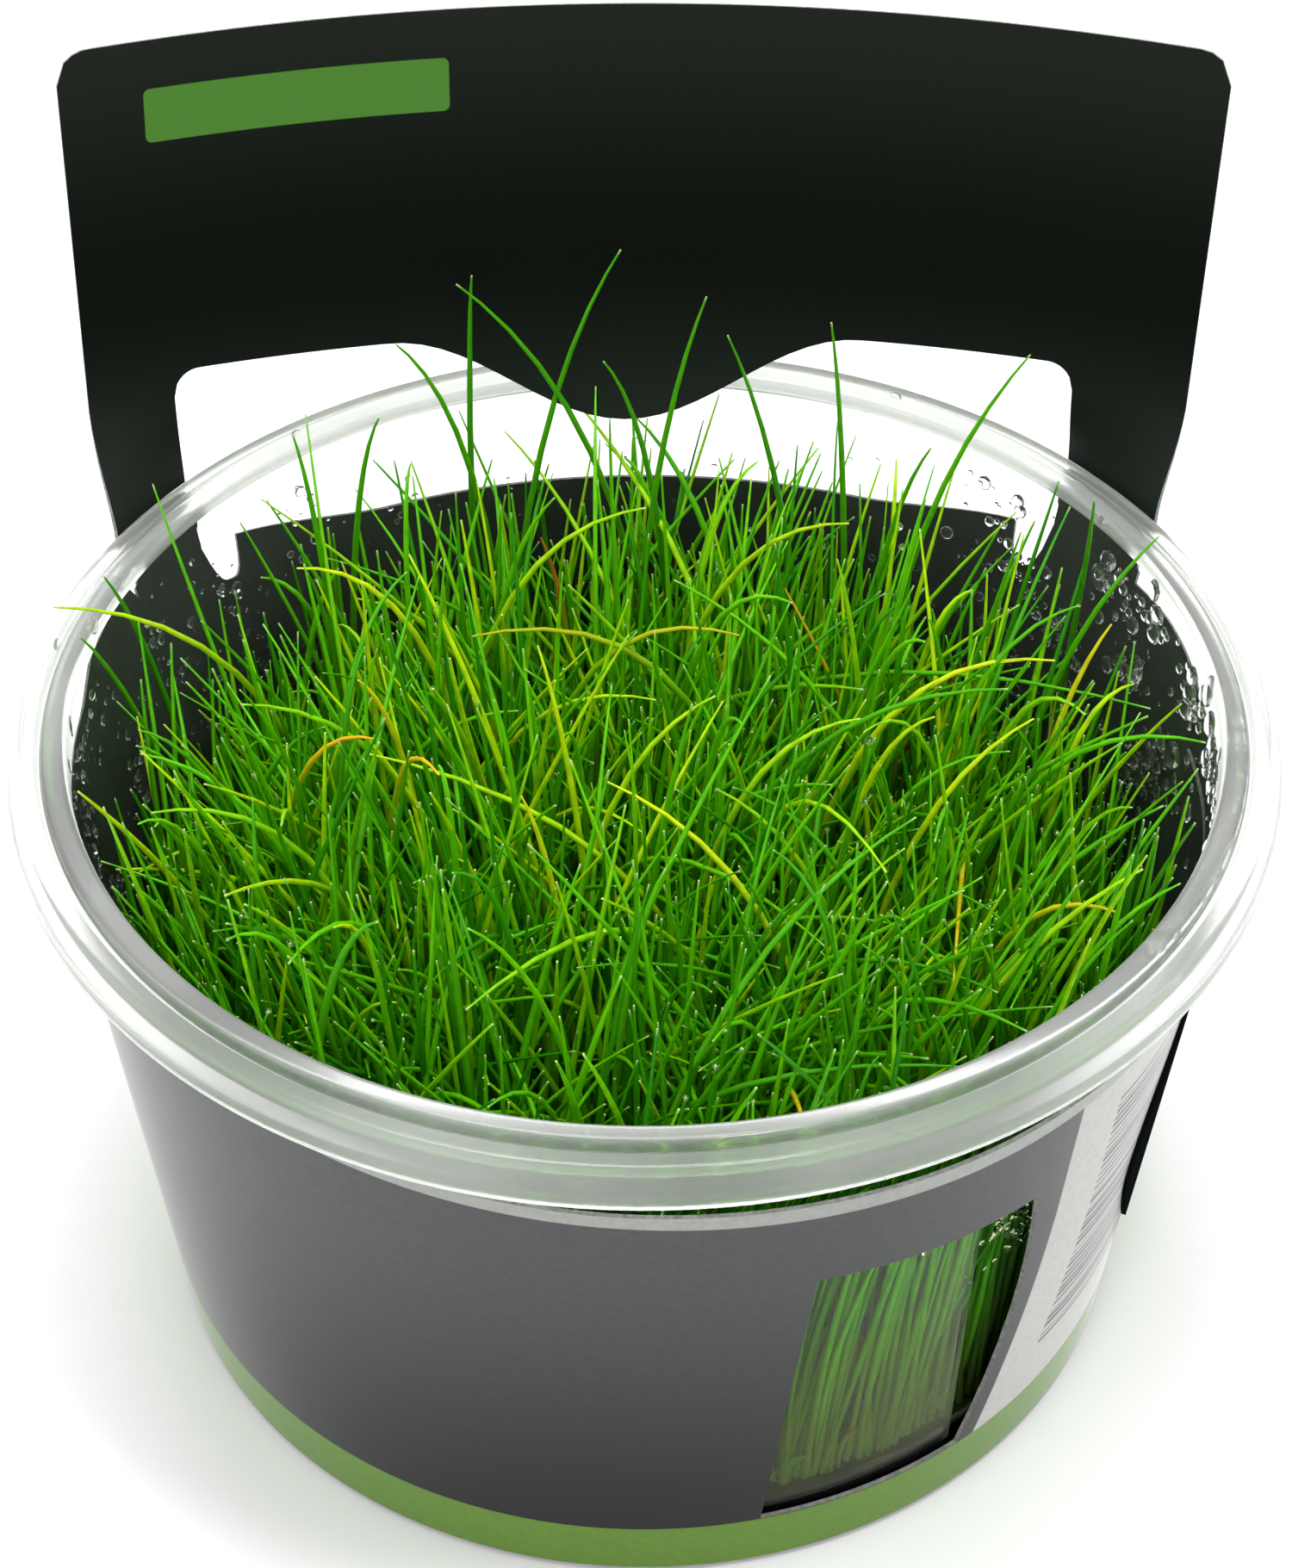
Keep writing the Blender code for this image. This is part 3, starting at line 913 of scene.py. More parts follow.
@dataclass
class GrowingCup:
    """The clear cup: a tapered wall on a flat floor, with a stepped flange for a snap lid."""

    rim_radius: float = 43.5 * MM
    rim_height: float = 49.0 * MM
    base_radius: float = 34.96 * MM
    taper: float = 0.1123
    wall: float = 1.0 * MM
    floor: float = 1.4 * MM
    skirt_bottom: float = 46.1 * MM
    bead_overlap: float = 0.3 * MM
    strip_low: float = 4.0 * MM
    strip_high: float = 38.0 * MM
    strip_stop: float = 47.0
    strip_depth: float = 0.2 * MM
    milky_depth: float = 1.6 * MM
    milky_under: float = 1.3 * MM
    under_slope: float = -0.3
    row: float = 4.5 * MM
    steps: int = 160

    def outer(self, height: float | np.ndarray) -> float | np.ndarray:
        """Outer radius of the wall at a height."""
        return self.base_radius + self.taper * height

    def inner(self, height: float | np.ndarray) -> float | np.ndarray:
        """Inner radius of the wall at a height."""
        return self.outer(height) - self.wall

    def profile(self) -> Profile:
        """Points of the profile with their corner radii.

        Returns:
            Up the inside, over the flange, down the skirt and the wall to the base.
        """
        rim, edge, skirt = self.rim_height, self.rim_radius, self.skirt_bottom
        inner, outer = self.inner(0.0), self.outer(rim)
        bead, ledge = outer - 0.4 * MM, rim - 1.2 * MM
        return [(0.0, self.floor, 0.0), (inner + 0.2 * MM, self.floor, 1.9 * MM),
                (inner + self.taper * (rim - 3.0 * MM), rim - 3.0 * MM, 0.5 * MM),
                (bead - 0.9 * MM, rim - 0.6 * MM, 0.2 * MM), (bead - 0.75 * MM, rim + 0.36 * MM, 0.6 * MM),
                (bead + 0.75 * MM, rim + 0.36 * MM, 0.6 * MM), (bead + 1.0 * MM, rim - 0.5 * MM, 0.25 * MM),
                (bead + 1.4 * MM, rim, 0.2 * MM), (edge - 0.9 * MM, rim, 0.5 * MM),
                (edge, rim - 1.5 * MM, 0.7 * MM), (edge, skirt, 0.35 * MM),
                (edge - 0.95 * MM, skirt, 0.3 * MM), (edge - 1.25 * MM, ledge, 0.3 * MM),
                (outer + 0.2 * MM, ledge, 0.3 * MM), (self.outer(rim - 2.0 * MM), rim - 2.0 * MM, 0.3 * MM),
                (self.outer(0.0), 0.0, 1.6 * MM), (0.0, 0.0, 0.0)]

    def outline(self) -> list[Pair]:
        """The rounded outline, with the long wall cut into rows.

        Returns:
            Radius and height of each point.
        """
        corners = fillet(self.profile())
        points = corners[:1]
        for here, there in zip(corners, corners[1:]):
            count = math.ceil(abs(there[1] - here[1]) / self.row) or 1
            points += list(zip(*(spaced(a, b, count)[1:] for a, b in zip(here, there))))
        return points

    def build(self) -> Piece:
        """Turn the cup and dress it: the flange is milky, the wall clear, and one strip of it tinted as
        painted shade.

        Returns:
            The cup.
        """
        # the wall's finish, which carries the painted reflection veil
        painted_veil = ThinWall()
        start = painted_veil.veil_stop % (360.0 / self.steps)
        piece = revolve("clear_cup", self.outline(), self.steps, painted_veil, start, painted_veil.veil_lean / MM)
        for finish in (MilkyFlange(), ShadeTintedStrip()):
            piece.data.materials.append(finish.material())
        for face in piece.data.polygons:
            height = face.center.z
            radius = face.center.to_2d().length
            wall = radius < self.outer(height) + self.bead_overlap
            milky = self.milky_depth if face.normal.z > self.under_slope else self.milky_under
            clear = wall and height < self.rim_height - milky
            flange = not clear and height > self.skirt_bottom - 1 * MM
            turn = math.degrees(math.atan2(face.center.x, -face.center.y))
            beside = painted_veil.veil_stop + painted_veil.veil_lean * height / MM < turn < self.strip_stop
            outside = radius > self.inner(height) - self.strip_depth
            # painted shade: the strip beside the veil takes the tinted finish that dims the turf behind it
            wet = beside and outside and self.strip_low < height < self.strip_high
            face.material_index = 1 if flange else 2 * int(wet)
        return settle(crease(piece, 50.0), Slot.CLEAR, "cup")


@dataclass
class GrowingGel:
    """The disc of growing gel on the cup's floor, with its edge drawn up the wall."""

    cup: GrowingCup
    bottom: float = 1.7 * MM
    top: float = 5.7 * MM
    gap: float = 0.3 * MM
    steps: int = 96

    def build(self) -> Piece:
        """Turn the gel and dress it.

        Returns:
            The gel.
        """
        side = self.cup.inner(self.top) - self.gap
        foot = self.cup.inner(0.0) - self.gap
        profile = [(0.0, self.top, 0.0), (side - 2.2 * MM, self.top, 2.0 * MM),
                   (side, self.top + 0.3 * MM, 0.12 * MM), (foot, self.bottom + 2.0 * MM, 0.8 * MM),
                   (foot - 2.0 * MM, self.bottom, 0.8 * MM), (0.0, self.bottom, 0.0)]
        return settle(revolve("gel_disc", fillet(profile), self.steps, GrowingJelly()), Slot.GEL, "gel")


@dataclass
class CardSleeve:
    """The one die-cut card: round the cup from under its flap, up two legs to the panel, then the flap."""

    cup: GrowingCup
    thickness: float = 0.3 * MM
    gap: float = 0.3 * MM
    bottom: float = 0.6 * MM
    band_edge: float = 5.7 * MM
    window_top: float = 32.7 * MM
    window_drop: float = 1.1 * MM
    window_left: float = -192.7
    window_right: float = -217.1
    window_lean: float = -3.4
    window_bow: float = -2.6
    window_reach: float = 1.1
    front_top: float = 41.9 * MM
    front_slope: float = 2.4 * MM
    inner_end: float = -279.0
    flap_start: float = 80.0
    flap_end: float = 118.2
    overlap: float = 0.34 * MM
    overlap_rise: Pair = (62.0, 84.0)
    flap_lean: float = 1.6
    flap_marks: tuple[float, ...] = (0.0, 0.125, 0.775, 1.0)
    flap_columns: int = 18
    flap_last: float = 0.9985
    matt_start: float = 84.0
    flap_middle: float = 21.4 * MM
    flap_half: float = 20.7 * MM
    leg_left: Pair = (-61.5, -51.4)
    leg_right: Pair = (46.6, 58.8)
    leg_radius: float = 44.05 * MM
    leg_blend: Pair = (47.0 * MM, 56.5 * MM)
    lift_before: float = 22.0
    lift_after: Pair = (24.0, 32.0)
    lift_level: float = 2.0
    lift_low: float = 2 * MM
    lift_high: float = 46.0 * MM
    band_top: float = 39.2 * MM
    band_rise: float = 2.1 * MM
    notch_width: float = 3.1 * MM
    notch_depth: float = 3.0 * MM
    notch_power: float = 3.5
    notch_columns: int = 12
    opening_top: float = 58.0 * MM
    opening_corner: float = 1.9 * MM
    bump_depth: float = 6.6 * MM
    bump_half: float = 17.3 * MM
    bump_middle: float = -1.4 * MM
    panel_high: float = 81.6 * MM
    panel_corner: float = 2.2 * MM
    panel_seat: float = 29.6 * MM
    panel_lean: float = 0.267
    panel_curve: float = 4.37
    foot_x: tuple[float, ...] = (-40.3 * MM, -34.3 * MM, 31.3 * MM, 39.4 * MM)
    head_x: tuple[float, ...] = (-40.9 * MM, -34.9 * MM, 31.9 * MM, 40.9 * MM)
    step: float = 1.5
    band_rows: tuple[int, int, int] = (1, 8, 2)
    leg_rows: int = 12
    panel_rows: int = 10

    def lift(self, angle: float) -> float:
        """How far the card follows the legs off the wall: 1 on the legs, 0 away from them.

        Args:
            angle: Degrees from the back.

        Returns:
            The share of the way off the wall.
        """
        if angle < 0:
            inner, outer, after = -self.leg_left[1], -self.leg_left[0], self.lift_after[0]
        else:
            inner, outer, after = *self.leg_right, self.lift_after[1]
        size = abs(angle)
        rise = ease(inner - self.lift_before, inner - self.lift_level, size)
        return float(rise * (1.0 - ease(outer + self.lift_level, outer + after, size)))

    def on_ring(self, angle: float, height: float) -> Vector:
        """Point of the card round the cup.

        Args:
            angle: Degrees from the back.
            height: Height in metres.

        Returns:
            The point, in metres.
        """
        layer = float(ease(*self.overlap_rise, angle)) * self.overlap
        snug = self.cup.outer(height) + self.gap + self.thickness / 2 + layer
        rise = float(ease(self.window_top - self.lift_low, self.lift_high, height)) * self.lift(angle)
        radius = snug + rise * max(self.leg_radius - snug, 0.0)
        return Vector(around(radius, angle, height))

    def on_panel(self, x: float, height: float) -> Vector:
        """Point of the raised panel, which leans back and curves forward at its sides."""
        lean = self.panel_lean * (height - self.cup.rim_height)
        return Vector((x, self.panel_seat + lean - self.panel_curve * x * x, height))

    def columns(self) -> list[tuple[Zone, float]]:
        """Columns of the card, from its inner end to the flap's end.

        Returns:
            Each column's zone and its angle.
        """
        notch = math.degrees(self.notch_width / self.cup.outer(self.band_top))
        left, right = self.leg_left, self.leg_right
        stops = [(Zone.FRONT, self.inner_end, self.window_right, self.step),
                 (Zone.FRONT, self.window_right, self.window_left, self.step),
                 (Zone.FRONT, self.window_left, left[0], self.step),
                 (Zone.LEFT_LEG, left[0], left[1], 1.0),
                 (Zone.GAP, left[1], left[1] + notch, notch / self.notch_columns),
                 (Zone.GAP, left[1] + notch, right[0] - notch, 2.0),
                 (Zone.GAP, right[0] - notch, right[0], notch / self.notch_columns),
                 (Zone.RIGHT_LEG, right[0], right[1], 1.0),
                 (Zone.FLAP, right[1], self.flap_start, self.step)]
        found: list[tuple[Zone, float]] = []
        for zone, start, stop, step in stops:
            count = max(round((stop - start) / step), 1)
            found += [(zone, angle) for angle in spaced(start, stop, count)[:-1]]
        reach = self.flap_end - self.flap_start
        found += [(Zone.FLAP, self.flap_start + reach * math.sin(math.pi / 2 * i / self.flap_columns))
                  for i in range(self.flap_columns)]
        return found + [(Zone.FLAP, self.flap_start + reach * self.flap_last)]

    def across(self, angle: float, height: float) -> float:
        """X of a column on the panel.

        Args:
            angle: Degrees from the back.
            height: Height in metres.

        Returns:
            The place to the right, in metres.
        """
        share = (height - self.opening_top) / (self.panel_high - self.opening_top)
        sides = [foot + (head - foot) * share for foot, head in zip(self.foot_x, self.head_x)]
        return float(np.interp(angle, (*self.leg_left, *self.leg_right), sides))

    def flap_reach(self, angle: float, power: float = 2.0) -> float:
        """Share of the flap's half height at an angle; a lower power makes the flap slimmer."""
        reach = max(angle - self.flap_start, 0.0) / (self.flap_end - self.flap_start)
        return max(1.0 - reach ** power, 0.0) ** (1.0 / power)

    def edge_high(self, zone: Zone, angle: float) -> float:
        """Upper edge of the card round the cup.

        Args:
            zone: The stretch of the card.
            angle: Degrees from the back.

        Returns:
            The edge's height in metres.
        """
        if zone is Zone.FRONT:
            return self.front_top + self.front_slope * math.sin(math.radians(angle + 180.0))
        if zone is Zone.GAP:
            edge = self.band_top + self.band_rise * (angle / self.leg_right[0]) ** 2
            side = min(angle - self.leg_left[1], self.leg_right[0] - angle)
            share = math.radians(side) * self.cup.outer(self.band_top) / self.notch_width
            if share < 1.0:
                edge -= self.notch_depth * (1.0 - abs(2.0 * share - 1.0) ** self.notch_power)
            return edge
        return self.flap_middle + self.flap_half * self.flap_reach(angle)

    def edge_low(self, angle: float) -> float:
        """Lower edge of the card round the cup."""
        return self.flap_middle - (self.flap_middle - self.bottom) * self.flap_reach(angle, self.flap_lean)

    def corner(self, side: float, radius: float) -> float:
        """Drop of a rounded corner at a distance from the straight side.

        Args:
            side: Distance from the side, in metres.
            radius: Its radius, in metres.

        Returns:
            The drop, in metres.
        """
        if side >= radius:
            return 0.0
        return radius - math.sqrt(max(radius * radius - (radius - side) ** 2, 0.0))

    def opening_edge(self, angle: float) -> float:
        """Upper edge of the opening, with its bump and its rounded corners.

        Args:
            angle: Degrees from the back.

        Returns:
            The edge's height in metres.
        """
        x = self.across(angle, self.opening_top)
        away = abs(x - self.bump_middle) / self.bump_half
        bump = self.bump_depth * 0.5 * (1.0 + math.cos(math.pi * away)) if away < 1.0 else 0.0
        side = min(x - self.foot_x[1], self.foot_x[2] - x)
        return self.opening_top - bump - self.corner(side, self.opening_corner)

    def panel_edge(self, angle: float) -> float:
        """Upper edge of the panel, with its rounded corners."""
        x = self.across(angle, self.panel_high)
        return self.panel_high - self.corner(min(x - self.head_x[0], self.head_x[3] - x), self.panel_corner)

    def band_column(self, zone: Zone, angle: float) -> list[Vector]:
        """Points of a column round the cup, from the lower edge to the upper one.

        Args:
            zone: The stretch of the card.
            angle: Degrees from the back.

        Returns:
            The points, in metres.
        """
        low, high = self.edge_low(angle), self.edge_high(zone, angle)
        marks = [low, self.band_edge, self.window_top, high]
        lean = bow = 0.0
        if zone is Zone.FRONT:
            place = (angle - self.window_right) / (self.window_left - self.window_right)
            near = max(1.0 - abs(place - 0.5) / self.window_reach, 0.0)
            lean = self.window_lean * min(near * 2.0, 1.0)
            bow = self.window_bow * min(near * 2.0, 1.0) * min(max(1.0 - place, 0.0), 1.0)
            if near:
                marks[2] += self.window_drop * (place - 0.5)
        if angle > self.flap_start:
            marks = [low + (high - low) * share for share in self.flap_marks]
        heights = []
        for below, above, count in zip(marks, marks[1:], self.band_rows):
            heights += spaced(below, above, count)[:-1]
        points = []
        for height in heights + [high]:
            rise = (height - self.band_edge) / (self.window_top - self.band_edge)
            tilt = lean * rise + bow * 4.0 * max(rise * (1.0 - rise), 0.0)
            points.append(self.on_ring(angle + tilt, height))
        return points

    def leg_column(self, angle: float, start: float) -> list[Vector]:
        """Points of a column of a leg, from above the card round the cup to below the panel.

        Args:
            angle: Degrees from the back.
            start: Height of the band's upper edge, in metres.

        Returns:
            The points, in metres.
        """
        points = []
        stop = self.opening_top - self.opening_corner
        for height in spaced(start, stop, self.leg_rows)[1:-1]:
            share = float(ease(*self.leg_blend, height))
            panel = self.on_panel(self.across(angle, height), height)
            points.append(self.on_ring(angle, height).lerp(panel, share))
        return points

    def panel_column(self, zone: Zone, angle: float) -> list[Vector]:
        """Points of a column of the panel, from the opening's edge to the top.

        Args:
            zone: The stretch of the card.
            angle: Degrees from the back.

        Returns:
            The points, in metres.
        """
        low = self.opening_edge(angle) if zone is Zone.GAP else self.opening_top - self.opening_corner
        heights = spaced(low, self.panel_edge(angle), self.panel_rows)
        return [self.on_panel(self.across(angle, height), height) for height in heights]

    def strips(self) -> tuple[list[Vector], list[float], list[tuple[int, ...]]]:
        """The card's middle surface.

        Returns:
            Its points, each point's print angle, and its faces.
        """
        points: list[Vector] = []
        angles: list[float] = []
        faces: list[tuple[int, ...]] = []

        def store(column: list[Vector], angle: float) -> list[int]:
            """Keep the points of a column and give their numbers.

            Args:
                column: The points.
                angle: The column's angle.

            Returns:
                The numbers.
            """
            first = len(points)
            points.extend(column)
            angles.extend([angle] * len(column))
            return list(range(first, len(points)))

        rows = []
        for zone, angle in self.columns():
            band = self.band_column(zone, angle)
            sides = zone in (Zone.LEFT_LEG, Zone.RIGHT_LEG) or angle in (self.leg_left[1], self.leg_right[1])
            leg = self.leg_column(angle, band[-1].z) if sides else []
            raised = zone is Zone.GAP or (sides and zone is not Zone.FRONT)
            panel = self.panel_column(zone, angle) if raised else []
            ring, free, top = [store(column, angle) for column in (band, leg, panel)]
            rows.append((angle, (ring, ring[-1:] + free + top[:1] if free else [], top)))
        pane = range(self.band_rows[0], self.band_rows[0] + self.band_rows[1])
        for (angle, here), (_, there) in zip(rows, rows[1:]):
            windowed = self.window_right - ANGLE_SLACK <= angle < self.window_left - ANGLE_SLACK
            for first, second in zip(here, there):
                skipped = pane if windowed and first is here[0] else ()
                for row in range(min(len(first), len(second)) - 1):
                    if row not in skipped:
                        faces.append((first[row], first[row + 1], second[row + 1], second[row]))
        return points, angles, faces

    def build(self) -> Piece:
        """Make the card a sheet of even thickness, with its print map, and dress it.

        Returns:
            The sleeve.
        """
        points, angles, faces = self.strips()
        piece = add_mesh("card_blank", points, faces, [OuterPrint(), InnerPrint(), CutEdge()])
        layer = piece.data.uv_layers.new(name="print")
        for loop in piece.data.loops:
            point = points[loop.vertex_index]
            turn = math.degrees(math.atan2(point.x, point.y))
            angle = turn + 360.0 * round((angles[loop.vertex_index] - turn) / 360.0)
            layer.data[loop.index].uv = (angle / MAP_ACROSS, point.z * MAP_UP)
        solid = piece.modifiers.new("Thickness", "SOLIDIFY")
        solid.thickness = self.thickness
        solid.offset = 0.0
        solid.use_even_offset = True
        solid.material_offset = 1
        solid.material_offset_rim = 2
        piece = freeze(piece, "printed_sleeve")
        piece.data.materials.append(MattBlack().material())
        layer = piece.data.uv_layers["print"]
        for face in piece.data.polygons:
            angle = layer.data[face.loop_start].uv.x * MAP_ACROSS
            if face.material_index != 1 and angle > self.matt_start:
                face.material_index = 3
        return settle(crease(piece, 40.0), Slot.CARD, "card_sleeve")


@dataclass
class Guide:
    """One culm: its foot, and how its bend and its tip stand from the foot."""

    foot: Triple
    bend: Triple
    reach: Triple
    girth: float
    tone: float
    dry: float = 0.0
    wet: float = 0.0
    over: float = 0.0


@dataclass(frozen=True)
class Standout:
    """A culm that stands out of the turf, by its tip and a place on its way, in millimetres."""

    tip: Triple
    way: Triple
    tone: float
    dry: float = 0.0
    over: float = 0.0
    share: float = 0.75
    girth: float = 0.28 * MM

    def guide(self, bed_radius: float, foot_height: float) -> Guide:
        """The guide whose culm passes its place and ends at its tip.

        Args:
            bed_radius: Radius of the bed that its foot stays on.
            foot_height: Height of its foot.

        Returns:
            The guide.
        """
        tip, way = Vector(self.tip) * MM, Vector(self.way) * MM
        end = self.share * self.share
        foot = ((way - tip * end) / (1.0 - end)).to_2d()
        if foot.length > bed_radius:
            foot *= bed_radius / foot.length
        base = Vector((foot.x, foot.y, foot_height))
        free = 1.0 - self.share
        bend = (way - base * (free * free) - tip * end) / (2.0 * self.share * free)
        return Guide(tuple(base), tuple(bend - base), tuple(tip - base), self.girth, self.tone, self.dry,
                     over=self.over)


STANDOUTS = tuple(Standout(row[:3], row[3:6], *row[6:]) for row in (
    (-1.7, 29.0, 67.0, -5.9, 28.4, 57.0, 0.25), (-13.4, 26.8, 65.5, -6.8, 28.2, 56.0, 0.25),
    (4.4, 25.2, 65.5, 1.9, 25.8, 55.0, 0.30), (6.0, 27.0, 61.0, 9.1, 27.1, 51.0, 0.20),
    (13.2, 23.4, 64.5, 14.3, 25.0, 54.0, 0.30), (27.3, 22.3, 62.5, 22.8, 24.0, 52.0, 0.45),
    (-17.8, 25.1, 61.5, -14.4, 27.2, 54.0, 0.30), (-25.1, 20.3, 57.0, -24.0, 19.9, 50.0, 0.30),
    (-12.4, 28.7, 65.0, -12.8, 29.2, 58.0, 0.20), (-19.2, 23.9, 56.0, -20.8, 24.2, 50.0, 0.30),
    (20.5, 20.1, 56.0, 18.4, 21.2, 49.0, 0.30), (-3.0, 28.1, 58.0, -0.5, 27.9, 52.0, 0.20),
    (-41.0, 6.8, 52.0, -32.9, 9.9, 47.0, 0.8, 0.1, 1.0), (-39.0, 4.8, 51.0, -36.6, 7.4, 43.0, 0.3, 0.0, 1.0),
    (-37.9, 10.3, 52.0, -36.0, 11.7, 45.0, 0.20, 0.0, 1.0), (36.1, 12.3, 54.0, 31.7, 12.4, 46.0, 0.40),
    (32.0, 16.6, 54.0, 32.1, 18.4, 46.0, 0.25), (32.6, 7.4, 50.0, 29.9, 6.1, 44.0, 0.90, 0.45),
    (38.4, -1.8, 47.0, 31.1, 0.2, 45.0, 0.50), (28.3, 3.4, 50.0, 20.4, 3.7, 48.0, 0.95, 0.25),
    (26.3, -2.8, 50.0, 20.9, -4.2, 45.0, 1.00, 0.10), (14.6, -2.8, 50.0, 8.9, -3.4, 47.0, 0.80),
    (-2.5, -8.1, 49.0, 4.7, -11.1, 45.0, 1.00, 0.20), (4.8, -1.6, 51.0, -0.2, -2.2, 46.0, 0.85),
    (-7.3, 2.6, 52.0, -5.5, -0.1, 45.0, 0.90, 0.10), (-8.1, -10.7, 50.0, -6.5, -10.9, 44.0, 1.00, 0.30),
    (0.1, 18.3, 52.0, -6.8, 18.4, 48.0, 0.85), (-6.5, 19.5, 52.0, -9.4, 20.0, 46.0, 0.60),
    (-24.6, 12.5, 51.0, -19.0, 13.4, 48.0, 0.90, 0.15), (-27.4, -1.3, 50.0, -20.7, 0.5, 46.0, 0.70),
    (-32.7, -10.1, 48.0, -25.8, -9.0, 46.0, 0.70), (-34.1, -4.1, 48.0, -28.0, -5.0, 45.0, 0.50),
    (13.5, 10.9, 53.0, 15.0, 10.7, 45.0, 0.75), (19.6, -2.6, 50.0, 16.3, -2.2, 46.0, 0.95, 0.10),
    (14.5, 15.1, 53.0, 8.2, 17.1, 49.0, 0.80, 0.15), (10.4, 9.8, 50.0, 6.2, 11.9, 48.0, 0.60),
    (30.0, -1.2, 49.0, 26.8, 1.3, 48.0, 0.70), (-18.1, -4.9, 50.0, -22.3, -1.7, 46.0, 0.80, 0.95),
    (-7.5, 18.7, 49.0, -6.2, 19.2, 43.0, 0.30, 1.00), (-12.2, 9.8, 47.0, -3.0, 10.7, 46.0, 0.45, 0.45),
    (6.7, 9.9, 47.0, -0.5, 10.9, 46.0, 0.50, 0.50), (-13.8, -6.3, 48.0, -16.1, -2.6, 46.0, 0.90, 0.80),
    (31.1, -16.6, 45.0, 26.4, -14.3, 43.0, 0.90, 0.50), (-19.6, 1.3, 50.0, -17.6, 2.2, 45.0, 1.00, 0.40),
))


@dataclass(frozen=True)
class Habit:
    """How the culms of one kind grow: numbers in millimetres, ranges as low and high."""

    count: int
    nearest: float
    height: Pair
    splay: float
    arching: float = 0.0
    dry: float = 0.006
    wet: float = 0.04
    # painted shade: this factor scales down the tone of culms that stand in the turf's shade, low down or
    # against the wall
    tone_in_shade: float = 1.0
    slim: float = 1.0


HABITS = {
    Culm.CANOPY: Habit(2100, 0.0, (23.0, 46.5), 18.5, 0.16, dry=0.002),
    Culm.UNDER: Habit(650, 0.0, (14.0, 28.0), 10.0, 0.1, wet=0.0, tone_in_shade=0.5),
    Culm.WALL: Habit(1000, 0.965, (22.0, 38.0), 1.6, wet=0.02, tone_in_shade=0.7, slim=0.95),
    Culm.TALL: Habit(210, 0.0, (42.0, 51.0), 14.0, 0.12),
    Culm.ROOT: Habit(220, 0.9, (1.6, 4.5), 1.4, 0.1, dry=0.4, wet=0.0, tone_in_shade=0.15),
}


